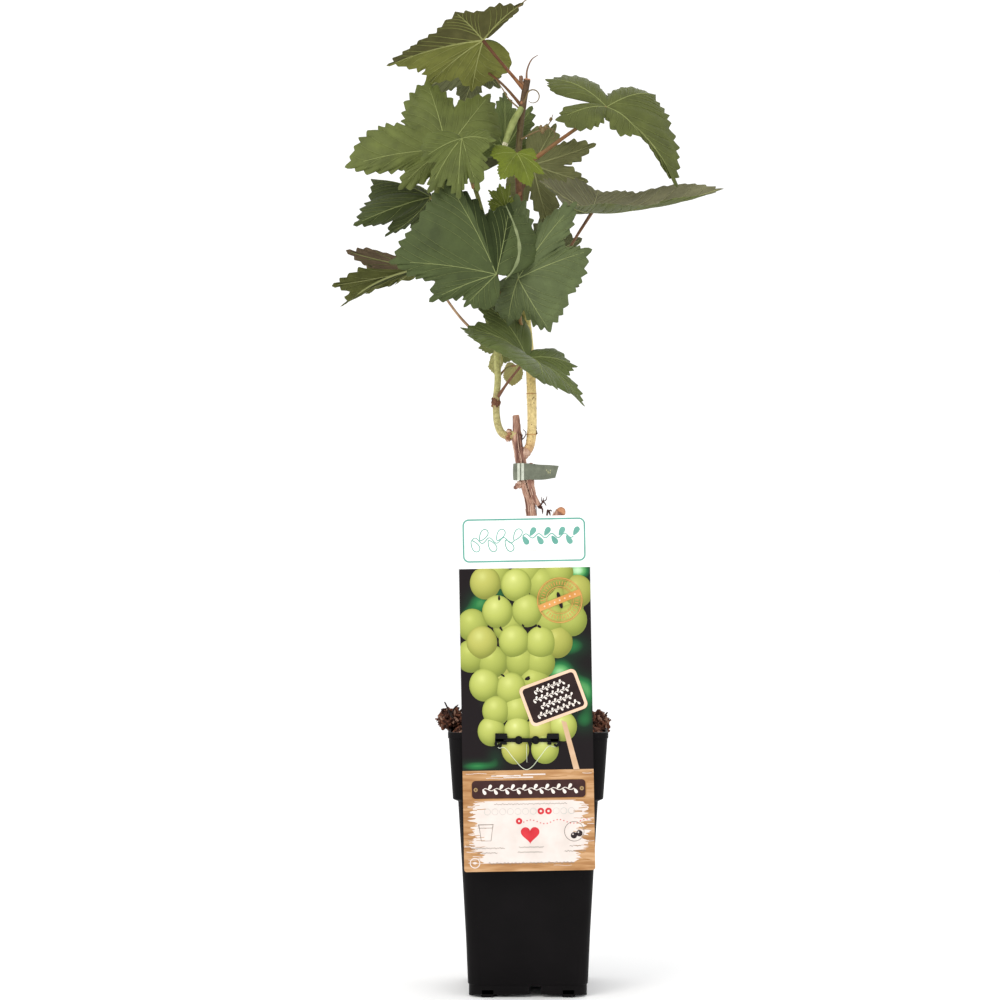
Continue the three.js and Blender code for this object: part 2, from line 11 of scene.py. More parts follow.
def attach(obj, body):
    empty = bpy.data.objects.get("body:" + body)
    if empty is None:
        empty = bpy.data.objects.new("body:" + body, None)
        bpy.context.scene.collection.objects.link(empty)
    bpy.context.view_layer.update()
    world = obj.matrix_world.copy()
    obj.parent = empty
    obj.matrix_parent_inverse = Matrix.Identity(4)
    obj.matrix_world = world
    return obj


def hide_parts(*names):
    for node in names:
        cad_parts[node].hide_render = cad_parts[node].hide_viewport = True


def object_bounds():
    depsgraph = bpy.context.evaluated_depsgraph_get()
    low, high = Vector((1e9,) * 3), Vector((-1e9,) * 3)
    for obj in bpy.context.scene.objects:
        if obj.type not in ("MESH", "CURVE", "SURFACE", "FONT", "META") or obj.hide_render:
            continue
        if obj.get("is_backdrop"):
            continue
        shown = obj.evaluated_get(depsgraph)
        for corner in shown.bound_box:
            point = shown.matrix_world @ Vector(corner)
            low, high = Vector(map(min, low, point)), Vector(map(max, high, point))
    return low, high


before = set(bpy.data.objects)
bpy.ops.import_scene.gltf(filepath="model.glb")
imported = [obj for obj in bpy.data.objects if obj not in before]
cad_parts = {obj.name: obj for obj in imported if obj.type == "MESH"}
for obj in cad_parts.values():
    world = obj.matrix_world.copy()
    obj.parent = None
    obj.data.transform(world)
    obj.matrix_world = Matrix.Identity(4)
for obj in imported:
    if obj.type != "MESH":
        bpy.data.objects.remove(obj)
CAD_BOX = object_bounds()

MM = 0.001
FORWARD = (0.0, -1.0, 0.0)
CARD_GLOSS = 0.12
rng = np.random.default_rng(11)


# ---- Colours and materials ----
def linear(colour):
    """A colour given as 0-255 sRGB, in linear light."""
    parts = [c / 255 for c in colour]
    return (*(c / 12.92 if c <= 0.04045 else ((c + 0.055) / 1.055) ** 2.4 for c in parts), 1)


def tint(colour, share):
    """The colour made lighter (share above 1) or darker."""
    return tuple(min(255, max(0, c * share)) for c in colour)


def blend(one, two, share):
    return tuple((1 - share) * a + share * b for a, b in zip(one, two))


def even_stops(tones, low=0.32, high=0.68):
    """Stops for a colour ramp, spread evenly from low to high."""
    return list(zip(np.linspace(low, high, len(tones)).tolist(), tones))


class Look:
    """A material being built round one shader."""

    def __init__(self, name, specular, rough=0.5):
        self.made = bpy.data.materials.new(name)
        self.made.use_nodes = True
        self.nodes, self.links = self.made.node_tree.nodes, self.made.node_tree.links
        self.shader = self.nodes["Principled BSDF"]
        self.shader.inputs["Specular IOR Level"].default_value = specular
        self.shader.inputs["Roughness"].default_value = rough

    def feed(self, name, output):
        """Joins an output to the shader's input of that name."""
        self.links.new(output, self.shader.inputs[name])

    def ramp(self, value, stops):
        node = self.nodes.new("ShaderNodeValToRGB")
        elements = node.color_ramp.elements
        while len(elements) < len(stops):
            elements.new(0.5)
        for element, (position, colour) in zip(elements, stops):
            element.position = position
            element.color = linear(colour)
        self.links.new(value, node.inputs["Fac"])
        return node.outputs["Color"]

    def noise(self, vector, size, detail=3.0, roughness=0.55):
        node = self.nodes.new("ShaderNodeTexNoise")
        for name, value in (("Scale", 1 / (size * MM)), ("Detail", detail), ("Roughness", roughness)):
            node.inputs[name].default_value = value
        self.links.new(vector, node.inputs["Vector"])
        return node.outputs["Fac"]

    def grain(self, vector, size, relief, cells=0):
        """Bumps of that size that stand relief mm out, with a net of cells over them."""
        height = self.noise(vector, size, 4.0, 0.6)
        if cells:
            net = self.nodes.new("ShaderNodeTexVoronoi")
            net.feature = "DISTANCE_TO_EDGE"
            net.inputs["Scale"].default_value = 1 / (cells * MM)
            self.links.new(vector, net.inputs["Vector"])
            join = self.nodes.new("ShaderNodeMath")
            self.links.new(height, join.inputs[0])
            self.links.new(net.outputs["Distance"], join.inputs[1])
            height = join.outputs["Value"]
        bump = self.nodes.new("ShaderNodeBump")
        bump.inputs["Distance"].default_value = relief * MM
        self.links.new(height, bump.inputs["Height"])
        self.feed("Normal", bump.outputs["Normal"])


def material(name, tones, size=10, stretch=(1, 1, 1), rough=(0.5, 0.65), relief=0.0, relief_size=2.0,
             specular=0.4, cells=0.0):
    """A material whose colour wanders between tones, with grain of relief mm in its surface."""
    look = Look(name, specular)
    coords = look.nodes.new("ShaderNodeTexCoord")
    mapping = look.nodes.new("ShaderNodeMapping")
    mapping.inputs["Scale"].default_value = stretch
    look.links.new(coords.outputs["Object"], mapping.inputs["Vector"])
    vector = mapping.outputs["Vector"]
    pattern = look.noise(vector, size)
    look.feed("Base Color", look.ramp(pattern, even_stops(tones)))
    spread = look.nodes.new("ShaderNodeMapRange")
    spread.inputs["To Min"].default_value, spread.inputs["To Max"].default_value = rough
    look.links.new(pattern, spread.inputs["Value"])
    look.feed("Roughness", spread.outputs["Result"])
    if relief:
        look.grain(vector, relief_size, relief, cells)
    return look.made


def along_height(name, stops):
    """A cane's material: colours named by their height in mm, with a little drift and fine grain."""
    look = Look(name, specular=0.3, rough=0.55)
    coords = look.nodes.new("ShaderNodeTexCoord").outputs["Object"]
    split = look.nodes.new("ShaderNodeSeparateXYZ")
    look.links.new(coords, split.inputs["Vector"])
    low, high = stops[0][0], stops[-1][0]
    span = look.nodes.new("ShaderNodeMapRange")
    span.inputs["From Min"].default_value = low * MM
    span.inputs["From Max"].default_value = high * MM
    look.links.new(split.outputs["Z"], span.inputs["Value"])
    colours = look.ramp(span.outputs["Result"], [((z - low) / (high - low), colour) for z, colour in stops])
    shades = even_stops(((196, 190, 178), (255, 255, 255)), 0.3, 0.6)
    drift = look.ramp(look.noise(coords, 2.4, 4.0, 0.6), shades)
    mix = look.nodes.new("ShaderNodeMix")
    mix.data_type, mix.blend_type = "RGBA", "MULTIPLY"
    mix.inputs["Factor"].default_value = 1.0
    look.links.new(colours, mix.inputs["A"])
    look.links.new(drift, mix.inputs["B"])
    look.feed("Base Color", mix.outputs["Result"])
    look.grain(coords, size=1.2, relief=0.12)
    return look.made


def shaded(name, tones):
    """A material whose colour follows the shade stored on the mesh's points."""
    look = Look(name, CARD_GLOSS, rough=0.35)
    value = look.nodes.new("ShaderNodeAttribute")
    value.attribute_name = "tone"
    look.feed("Base Color", look.ramp(value.outputs["Fac"], even_stops(tones, 0.0, 1.0)))
    return look.made


# ---- Meshes ----
class Shape:
    """Points and faces gathered for one piece, with a material index for each face."""

    def __init__(self):
        self.points, self.faces, self.tones, self.count = [], [], [], 0

    def add(self, points, faces, tone=0):
        points = np.asarray(points, float).reshape(-1, 3)
        self.points.append(points)
        self.faces += [[self.count + i for i in face] for face in faces]
        self.tones += [tone] * len(faces)
        self.count += len(points)

    def mesh(self, name):
        data = bpy.data.meshes.new(name)
        data.from_pydata((np.concatenate(self.points) * MM).tolist(), [], self.faces)
        return data


def place_object(name, data):
    obj = bpy.data.objects.new(name, data)
    bpy.context.scene.collection.objects.link(obj)
    return obj


def make(name, shape, materials, nodes=(), crease=40, values=None):
    """Makes the visible piece from a shape, and hides the CAD nodes it replaces."""
    data = shape.mesh(name)
    for each in materials:
        data.materials.append(each)
    data.polygons.foreach_set("material_index", shape.tones)
    data.polygons.foreach_set("use_smooth", [True] * len(data.polygons))
    if values is not None:
        data.attributes.new("tone", "FLOAT", "POINT").data.foreach_set("value", values)
    data.update()
    data.set_sharp_from_angle(angle=math.radians(crease))
    obj = place_object(name, data)
    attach(obj, "root")
    if nodes:
        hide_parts(*nodes)
    return obj


def unit(vectors):
    return vectors / np.maximum(np.linalg.norm(vectors, axis=-1, keepdims=True), 1e-9)


def curve(path, steps):
    """A smooth curve through the path's points, as steps + 1 points evenly spaced, and its length."""
    p = np.array(path, float)
    p = np.vstack([2 * p[0] - p[1], p, 2 * p[-1] - p[-2]])
    u = np.linspace(0, 1, 16, endpoint=False)[:, None]
    fine = []
    for i in range(1, len(p) - 2):
        p0, p1, p2, p3 = p[i - 1:i + 3]
        a, b, c = (max(1e-4, np.linalg.norm(w - v)) ** 0.5 for v, w in ((p0, p1), (p1, p2), (p2, p3)))
        out = ((p1 - p0) / a - (p2 - p0) / (a + b) + (p2 - p1) / b) * b
        into = ((p2 - p1) / b - (p3 - p1) / (b + c) + (p3 - p2) / c) * b
        fine.append((2 * u**3 - 3 * u**2 + 1) * p1 + (u**3 - 2 * u**2 + u) * out
                    + (-2 * u**3 + 3 * u**2) * p2 + (u**3 - u**2) * into)
    fine = np.vstack([*fine, p[-2:-1]])
    along = distances(fine)
    at = np.linspace(0, along[-1], steps + 1)
    return np.stack([np.interp(at, along, fine[:, k]) for k in range(3)], 1), along[-1]


def distances(points):
    """How far along the polyline each of its points is."""
    return np.concatenate([[0], np.cumsum(np.linalg.norm(np.diff(points, axis=0), axis=1))])


def taper(radii, nodes=(), swelling=0.2, width=0.02):
    """Radius between named values spread evenly from foot to tip, swollen at the nodes of the stem."""
    def at(t):
        plain = np.interp(t, np.linspace(0, 1, len(radii)), radii)
        return plain * (1 + swelling * sum(math.exp(-(((t - n) / width) ** 2)) for n in nodes))
    return at


def ring_frames(points):
    tangents = unit(np.gradient(points, axis=0))
    side = np.cross((0, 1, 0) if abs(tangents[0][1]) < 0.9 else (1, 0, 0), tangents[0])
    for point, tangent in zip(points, tangents):
        side = side - side.dot(tangent) * tangent
        side = side / np.linalg.norm(side)
        yield point, side, np.cross(tangent, side)


def quads(rows, columns, wrap=True):
    """Faces of a grid of points listed row by row. With wrap, each row closes on itself."""
    return [(r * columns + i, r * columns + j, (r + 1) * columns + j, (r + 1) * columns + i)
            for r in range(rows - 1) for i, j in zip(range(columns if wrap else columns - 1),
                                                     [*range(1, columns), 0])]


def full_turn(count):
    return np.arange(count) * 2 * math.pi / count


def tube(shape, path, radius, sides=10, steps=24, relief=None, tone=0, dome=0.3):
    """A tapering round limb with closed, slightly domed ends. relief(mm along, angles) adds to the radius."""
    points, length = curve(path, steps)
    turns = full_turn(sides)
    rings = []
    for k, (point, side, across) in enumerate(ring_frames(points)):
        r = np.full(sides, float(radius(k / steps)))
        if relief:
            r = r + relief(length * k / steps, turns)
        rings.append(point + r[:, None] * (np.cos(turns)[:, None] * side + np.sin(turns)[:, None] * across))
    ends = [points[0] + dome * radius(0) * unit(points[0] - points[1]),
            points[-1] + dome * radius(1) * unit(points[-1] - points[-2])]
    close_rings(shape, rings, ends, tone)
    return rings


def close_rings(shape, rings, ends, tone=0):
    """Adds the skin over a stack of rings, with a fan of faces to a point at each end."""
    count = len(rings[0])
    last = (len(rings) - 1) * count
    foot, tip = last + count, last + count + 1
    faces = quads(len(rings), count)
    faces += [(foot, (i + 1) % count, i) for i in range(count)]
    faces += [(tip, last + i, last + (i + 1) % count) for i in range(count)]
    shape.add(np.concatenate([*rings, ends]), faces, tone)


def skin(shape, rings):
    """Closes a stack of rings, each an array of points that run counter-clockwise from above."""
    close_rings(shape, rings, [rings[0].mean(0), rings[-1].mean(0)])


def ribbon(shape, points, normals, widths, height, tone=0, sink=0.12):
    """A thin raised strip along points, with a rounded top that stands height above them."""
    points, normals = np.asarray(points, float), np.asarray(normals, float)
    count = len(points)
    across = unit(np.cross(unit(np.gradient(points, axis=0)), normals))
    widths = np.broadcast_to(np.asarray(widths, float), (count,))[:, None]
    heights = np.broadcast_to(np.asarray(height, float), (count,))[:, None]
    rows = [points - across * widths / 2 - normals * sink, points - across * widths / 4 + normals * heights,
            points + across * widths / 4 + normals * heights, points + across * widths / 2 - normals * sink]
    faces = quads(count, 4) + [(3, 2, 1, 0), tuple(4 * (count - 1) + i for i in range(4))]
    shape.add(np.stack(rows, 1), faces, tone)


def take_mesh(mesh):
    """Points and faces of a working mesh, which is then freed."""
    points, faces = np.array([v.co for v in mesh.verts]), [[v.index for v in f.verts] for f in mesh.faces]
    mesh.free()
    return points, faces


def block(shape, size, centre, bevel=0.3, tone=0, spin=None, jitter=0.0):
    """A box with rounded edges."""
    mesh = bmesh.new()
    bmesh.ops.create_cube(mesh, size=1)
    for vertex in mesh.verts:
        vertex.co = Vector(c * s for c, s in zip(vertex.co, size))
    if bevel:
        bmesh.ops.bevel(mesh, geom=mesh.edges[:], offset=bevel, segments=2, profile=0.6, affect="EDGES")
    points, faces = take_mesh(mesh)
    if jitter:
        points = points + rng.normal(0, jitter, points.shape)
    if spin is not None:
        points = points @ spin.T
    shape.add(points + np.asarray(centre, float), faces, tone)


def lump(shape, centre, radii, tone=0, detail=3, rough=0.25, grain=1.6):
    """A small uneven knob."""
    mesh = bmesh.new()
    bmesh.ops.create_icosphere(mesh, subdivisions=detail, radius=1)
    points, faces = take_mesh(mesh)
    wobble = np.array([1 + rough * noise.noise(Vector(p) * grain + Vector(centre)) for p in points])
    shape.add(points * wobble[:, None] * radii + np.array(centre, float), faces, tone)


def arc(centre, radius, first, last, steps):
    """Points of an arc, with its turns counted in quarters."""
    turns = (first + (last - first) * np.arange(steps + 1) / steps) * math.pi / 2
    return np.column_stack([centre[0] + radius * np.cos(turns), centre[1] + radius * np.sin(turns)])


def rounded_box(left, right, low, high, corner, steps=5):
    """Outline of a rectangle with round corners, counter-clockwise from its upper right one."""
    centres = ((right - corner, high - corner), (left + corner, high - corner),
               (left + corner, low + corner), (right - corner, low + corner))
    return np.concatenate([arc(centre, corner, k, k + 1, steps) for k, centre in enumerate(centres)])


CORNER_STEPS, SIDE_STEPS = 10, 14


def at_height(half, corner, z):
    """A square ring with round corners, half as wide as it says, at a height."""
    ring = rounded_box(-half, half, -half, half, corner, CORNER_STEPS)
    return np.column_stack([ring, np.full(len(ring), float(z))])


# ---- Leaves ----
# Each leaf's stalk joins it at a point, and five lobes spread from there, listed from one side of the stalk
# to the other as they lie on the upper face. A lobe is (bearing, reach, back): degrees clockwise from
# straight up as the front sees it, millimetres in that plane, millimetres back. cut is how deep the bays
# between lobes go, and heel how far the blade turns back to the stalk. over and under are its two colours;
# turned gives the part of the underside, between two lobes by number, that catches less light, and shaded
# the same for the upper face.
DEEP = (88, 100, 50)
PALE_UNDER = (118, 122, 84)
LEAVES = {
    "top": dict(at=(-37, 0, 790), cut=(-0.1, 0, 0.1, 0.1), heel=(8, 85), arch=0.06, over=DEEP,
                under=(146, 150, 76), turned=(-1, 2, (112, 110, 66)),
                lobes=((55, 38, -42), (-54, 26, -30), (-105, 80, 5), (-125, 57, 30), (-164, 35, 38))),
    "upper_left": dict(at=(-67, -15, 696), cut=(0.5, 0.6, 0.55, 0.4), over=(112, 122, 62), under=PALE_UNDER,
                       lobes=((-169, 42, -30), (-132, 50, -20), (-100, 82, -10), (-16, 61, 20),
                              (35, 59, 30))),
    "hanging": dict(at=(-54, -42, 702), cut=(0.15,) * 4, arch=0.12, over=(107, 118, 58), under=PALE_UNDER,
                    lobes=((97, 25, -10), (164, 45, -30), (-177, 50, -38), (-151, 52, -30),
                           (-121, 36, -18))),
    "behind_tip": dict(at=(-19, 45, 704), cut=(0.3,) * 4, over=(106, 120, 62), under=PALE_UNDER,
                       lobes=((-62, 36, 10), (-25, 55, 17), (0, 52, 25), (31, 45, 17), (87, 27, 10))),
    "young_front": dict(at=(-9, -40, 690), cut=(0.2,) * 4, small=True, over=(120, 134, 40),
                        under=(140, 150, 68),
                        lobes=((106, 16, -8), (131, 28, -20), (160, 32, -32), (-150, 27, -22),
                               (-96, 21, -10))),
    "young_cupped": dict(at=(-18, -30, 647), cut=(0.1,) * 4, small=True, over=(118, 130, 48),
                         under=(136, 144, 72),
                         lobes=((-72, 15, -4), (-47, 19, -8), (-16, 18, -12), (10, 18, -8), (32, 9, -4))),
    "upper_right": dict(at=(66, 0, 734), cut=(1.3, -0.15, 0.1, 1.3), heel=(35, 30), arch=0.1,
                        over=(101, 109, 54), under=(112, 116, 74),
                        lobes=((-58, 56, 35), (68, 45, 32), (137, 86, 0), (133, 36, -14), (-110, 43, -28))),
    "right": dict(at=(5, 40, 691), cut=(0.6, 0.6, 0.6, 0.4), over=DEEP, under=(146, 148, 98),
                  lobes=((-159, 37, -6), (165, 51, 0), (107, 46, 5), (71, 54, 8), (29, 38, 5))),
    "far_right": dict(at=(54, 0, 646), cut=(0.15,) * 4, arch=0.04, over=(112, 120, 68),
                      under=(138, 136, 102),
                      lobes=((-84, 20, -40), (88, 46, -42), (79, 109, 8), (16, 25, 50), (-59, 48, -12))),
    "left": dict(at=(-81, 0, 659), cut=(0.2, 0.35, -0.05, 0.2), heel=(30, 30), over=(74, 85, 42),
                 under=(86, 92, 52),
                 lobes=((-151, 29, 20), (-131, 47, 6), (-112, 65, -20), (-73, 50, 18), (-52, 18, 30))),
    "lower_left": dict(at=(-84, 32, 603), cut=(0.4, -0.05, -0.1, 0.1), heel=(12, 30), over=(80, 86, 46),
                       under=(110, 114, 62), turned=(-1, 0.55, (128, 110, 86)),
                       lobes=((-80, 66, -20), (-103, 78, -32), (-116, 77, -28), (-112, 53, 8),
                              (-114, 29, 20))),
    "centre": dict(at=(-26, -62, 589), cut=(0.1, 0.15, -0.08, 0.2), heel=(66, 82), arch=0.1,
                   over=(84, 97, 54), under=(120, 126, 92), shaded=(3.12, 4.06, (58, 70, 36)),
                   lobes=((-136, 35, -10), (-113, 56, -16), (-84, 84, -10), (-28, 84, 4), (10, 57, 12))),
    "centre_right": dict(at=(-8, -48, 587), cut=(0.75, 0.5, 0.05, 0.4), heel=(72, 88), over=(104, 117, 74),
                         under=(128, 134, 100),
                         lobes=((-1, 68, 16), (37, 76, 8), (70, 61, -8), (149, 49, -10), (-168, 36, 8))),
    "lowest": dict(at=(-1, -26, 523), cut=(0.35, 0.1, -0.35, 0.3), arch=0.1, over=(104, 117, 62),
                   under=(132, 138, 92),
                   lobes=((98, 40, 16), (130, 59, -22), (148, 25, -56), (-65, 56, -18), (-37, 60, 12))),
    "small_left": dict(at=(-25, 22, 529), cut=(-0.35,) * 4, small=True, over=(206, 202, 132),
                       under=(206, 202, 138),
                       lobes=((-111, 6, 4), (-143, 13, 2), (-171, 17, 0), (164, 12, 0), (119, 5, 4))),
    "small_right": dict(at=(-10, 18, 519), cut=(-0.35,) * 4, small=True, over=(206, 198, 130),
                        under=(208, 200, 136),
                        lobes=((-99, 9, 4), (-135, 14, 2), (-171, 17, 0), (151, 12, 2), (118, 7, 4))),
    "back_upper": dict(at=(-49, 62, 689), cut=(0.35,) * 4, over=(104, 116, 58), under=PALE_UNDER,
                       lobes=((36, 43, 4), (0, 55, 12), (-37, 57, 18), (-77, 45, 14), (-106, 27, 8))),
    "back_left": dict(at=(-56, 62, 629), cut=(0.35,) * 4, over=(92, 104, 52), under=PALE_UNDER,
                      lobes=((47, 33, 8), (-16, 33, 16), (-64, 41, 22), (-112, 47, 18), (-141, 30, 8))),
    "back_right": dict(at=(7, 60, 610), cut=(0.35,) * 4, over=(96, 106, 56), under=PALE_UNDER,
                       lobes=((174, 41, 12), (117, 39, 22), (61, 43, 24), (12, 43, 16), (-31, 25, 8))),
    "back_low": dict(at=(-16, 40, 540), cut=(0.35,) * 4, small=True, over=(108, 120, 58),
                     under=(126, 134, 80),
                     lobes=((59, 18, 6), (-2, 24, 14), (-43, 28, 18), (-99, 25, 14), (-161, 18, 8))),
    "back_top": dict(at=(-42, 40, 776), cut=(0.35,) * 4, over=(106, 118, 58), under=PALE_UNDER,
                     lobes=((0, 20, 10), (-80, 36, 18), (-109, 50, 20), (-159, 34, 14), (135, 24, 6))),
}
BLADE_THICK = 0.5
LEAF_PAINT = 0.8  # the leaves' own colour as a share of how light they look in full light


def turn_between(a, b, share):
    angle = math.acos(max(-1.0, min(1.0, float(a.dot(b)))))
    if angle < 1e-3:
        return a.copy()
    return unit(a * math.sin((1 - share) * angle) + b * math.sin(share * angle))


class Blade:
    """A leaf's surface: a cone of directions from the joint, arched and gently waved."""

    def __init__(self, leaf):
        tips = np.array([(r * math.sin(math.radians(b)), back, r * math.cos(math.radians(b)))
                         for b, r, back in leaf["lobes"]])
        self.reaches = np.linalg.norm(tips, axis=1)
        self.ways = unit(tips)
        self.joint = np.array(leaf["at"], float)
        self.cut = leaf["cut"]
        self.heel = leaf.get("heel", (62, 62))
        self.arch = leaf.get("arch", 0.08)
        self.small = leaf.get("small", False)
        self.wave = (0.35 if self.small else 1.1) * rng.uniform(0.8, 1.2)
        self.phases = rng.uniform(0, 2 * math.pi, 3)

    def span(self, i, outward):
        """Angle of the sector on the side of lobe i that outward (1 or -1) names."""
        j = i + outward
        if 0 <= j <= 4:
            return math.acos(max(-1, min(1, float(self.ways[i].dot(self.ways[j])))))
        return math.radians(self.heel[0 if outward < 0 else 1])

    def ray(self, station):
        """Direction and reach at a station: 0 to 4 are the lobe tips, -1 and 5 the two heels."""
        if station < 0 or station > 4:
            left = station < 0
            a, b, reach = ((self.ways[1], self.ways[0], self.reaches[0]) if left
                           else (self.ways[3], self.ways[4], self.reaches[4]))
            past = -station if left else station - 4
            turn = math.radians(self.heel[0 if left else 1])
            angle = max(0.3, math.acos(max(-1, min(1, float(a.dot(b))))))
            share = 1 - 0.4 * past if past < 0.5 else 0.8 - 0.7 * (2 * past - 1) ** 1.3
            return turn_between(a, b, 1 + past * turn / angle), reach * share
        i = min(3, int(station))
        t = station - i
        one, two = self.reaches[i], self.reaches[i + 1]
        bay = (0.44 - 0.25 * self.cut[i]) * (min(one, two) + (one + two) / 2)
        nearest, rise = (one, 1 - 2 * t) if t < 0.5 else (two, 2 * t - 1)
        fullness = 1 + 0.9 * max(0, self.cut[i])
        reach = bay + (nearest - bay) * (1 - (1 - rise) ** fullness)
        return turn_between(self.ways[i], self.ways[i + 1], t), reach

    def up(self, station):
        before, _ = self.ray(max(-1, station - 0.25))
        after, _ = self.ray(min(5, station + 0.25))
        return unit(np.cross(after, before))

    def points(self, station, shares):
        """Points of the blade's middle surface along one station, at shares of the reach there."""
        way, reach = self.ray(station)
        up = self.up(station)
        shares = np.asarray(shares, float)[:, None]
        a, b, c = self.phases
        ripple = self.wave * (math.sin(5.1 * station + a) + 0.7 * math.sin(11.3 * station + b)) * shares**2.5
        sag = 0.02 * reach * math.sin(2 * math.pi * station + c) * shares**2
        height = self.arch * reach * 4 * shares * (1 - shares) + ripple + sag
        return self.joint + way * reach * shares + up * height


def tooth_row(length, spacing, size):
    """Teeth from a lobe's tip (0) along half a bay (length): distances and how far the margin stands out."""
    count = max(1, round(length / spacing - 0.5))
    widths = rng.uniform(0.65, 1.35, count + 1)
    widths[0] *= 0.55
    widths *= length / widths.sum()
    rows = [(0, 1.3 * size), (0.25 * widths[0], 0.95 * size), (0.6 * widths[0], 0.45 * size), (widths[0], 0)]
    start = widths[0]
    for width in widths[1:]:
        tall = size * rng.uniform(0.5, 1.15)
        rows += [(start + share * width, tall * high)
                 for share, high in ((0.12, 0.4), (0.27, 0.84), (0.4, 1.0), (0.56, 0.66), (0.8, 0.28),
                                     (1.0, 0.0))]
        start += width
    rows[-1] = (length, 0)
    return rows


def margin(blade, spacing, size):
    """Stations along the toothed margin, in order, with how far it stands out at each."""
    fine = np.linspace(-1, 5, 901)
    edge = np.array([blade.points(s, [1.0])[0] for s in fine])
    along = distances(edge)
    found = []
    halves = [(0, -1)] + [(tip, tip + side) for tip in range(5) for side in (-0.5, 0.5)][1:-1] + [(4, 5)]
    for tip, end in halves:
        a, b = np.interp([tip, end], fine, along)
        rows = tooth_row(abs(b - a), spacing, size)
        inner = abs(end - tip) < 0.9
        stations = [float(np.interp(a + math.copysign(x, b - a), along, fine)) for x, _ in rows]
        outs = [(out - 0.42 * size) * (1 if inner else max(0, 1 - 1.15 * abs(s - tip)))
                for s, (_, out) in zip(stations, rows)]
        pairs = list(zip(stations, outs))
        if end < tip:
            pairs.reverse()
        found += pairs if not found else [p for p in pairs if p[0] > found[-1][0] + 1e-4]
    return found


def vein_paths(blade):
    """Each vein as stations and shares of the reach, with its level (0 main, 1 side)."""
    for tip in range(5):
        yield 0, [(tip, share) for share in np.linspace(0.0, 0.985, 14)]
        for side in (-1, 1):
            span = blade.span(tip, side)
            count = int(np.clip(round(span * 5.2), 1, 3 if blade.small else 5))
            for n in range(count):
                base = (n + (0.35 if side < 0 else 0.6)) / (count + 0.7) + rng.uniform(-0.03, 0.03)
                inner = 0 <= tip + side <= 4
                turn = (0.5 if inner else 0.8) * span * 0.94 * (1 - base) ** 1.1
                station = tip + side * turn / span
                _, reach = blade.ray(station)
                start = np.array([base * blade.reaches[tip], 0])
                end = 0.97 * reach * np.array([math.cos(turn), math.sin(turn)])
                if end[0] < start[0] + 1:
                    continue
                path = []
                for t in np.linspace(0, 1, 14):
                    bow = 0.09 * reach * min(turn, 0.8) * math.sin(math.pi * t)
                    flat = start + (end - start) * t + np.array([bow, -0.6 * bow])
                    theta = math.atan2(max(flat[1], 0), flat[0])
                    s = tip + side * theta / span
                    path.append((s, min(0.99, math.hypot(*flat) / blade.ray(s)[1])))
                yield 1, path


# the number that each of a leaf's materials has on a face
UPPER_FACE, LOWER_FACE, VEIN, VEIN_UNDER, DIM_FACE, SIDE_VEIN, SIDE_VEIN_UNDER = range(7)
NOWHERE = (9, 9, None)  # a span past the last lobe, for a leaf with no darker part


def leaf_looks(name, leaf):
    """The leaf's materials, in the order of their numbers."""
    dim = leaf.get("turned", leaf.get("shaded", (0, 0, leaf["under"])))[2]
    over, under, dim = (tint(c, LEAF_PAINT) for c in (leaf["over"], leaf["under"], dim))
    pale_over = blend(over, (182, 190, 124), 0.5)
    pale_under = blend(under, (196, 198, 140), 0.5)
    skin_grain = dict(relief=0.3, relief_size=1.5, cells=1.4 if leaf.get("small") else 2.4)
    side_over = [blend(over, pale_over, share) for share in (0.48, 0.66)]
    side_under = [blend(under, pale_under, share) for share in (0.4, 0.6)]
    return [material(f"leaf_{name}_{part}", tones, size, rough=rough, specular=specular, **grain)
            for part, tones, size, rough, specular, grain in (
                ("over", [tint(over, t) for t in (0.9, 1, 1.04, 1.12)], 17, (0.5, 0.64), 0.16, skin_grain),
                ("under", [tint(under, t) for t in (0.92, 1, 1.08)], 14, (0.7, 0.82), 0.1, skin_grain),
                ("vein", [tint(pale_over, t) for t in (1, 1.08)], 9, (0.55, 0.65), 0.2, {}),
                ("vein_under", [tint(pale_under, t) for t in (1, 1.08)], 9, (0.6, 0.7), 0.15, {}),
                ("dim", [tint(dim, t) for t in (0.92, 1, 1.08)], 14, (0.7, 0.82), 0.1, skin_grain),
                ("twig", side_over, 9, (0.55, 0.65), 0.16, {}),
                ("twig_under", side_under, 9, (0.6, 0.7), 0.12, {}))]


def add_veins(shape, blade, veins, thick):
    """Fine pale lines on the upper face, and raised cords below."""
    scale, lift = (0.42, 0.1) if blade.small else (1.0, 0.3)
    for level, line, path in veins:
        line = np.array(line)
        up = np.array([blade.up(s) for s, _ in path])
        share = np.linspace(0, 1, len(line))
        raised = thick / 2 + lift * np.sin(math.pi * share)[:, None]
        if level == 0:
            over, below, rise = 1.15 - 0.8 * share, 1.6 - 1.2 * share, 0.75 - 0.5 * share
            above_tone, below_tone = VEIN, VEIN_UNDER
        else:
            over, below, rise = 0.62 - 0.36 * share, 0.75 - 0.48 * share, 0.4 - 0.25 * share
            above_tone, below_tone = SIDE_VEIN, SIDE_VEIN_UNDER
        ribbon(shape, line + up * raised, up, over * scale, 0.16, above_tone, sink=0.55)
        ribbon(shape, line - up * thick / 2, -up, below * scale, rise * scale, below_tone, sink=0.3)


def swell_between(veins, grid, shares, small):
    """How far the blade bulges at each of its points, which is least along the veins."""
    marks = np.array([p for _, points, _ in veins for p in points])
    near = np.full(grid.shape[:2], 1e9)
    for start in range(0, len(marks), 64):
        part = marks[start:start + 64]
        near = np.minimum(near, np.linalg.norm(grid[:, :, None] - part[None, None], axis=3).min(2))
    swell = (0.4 if small else 1.3) * (1 - np.exp(-((near / (2.0 if small else 4.2)) ** 2)))
    swell *= np.clip((1.04 - shares) / 0.18, 0, 1)[None, :] * np.clip(shares / 0.12, 0, 1)[None, :]
    return swell


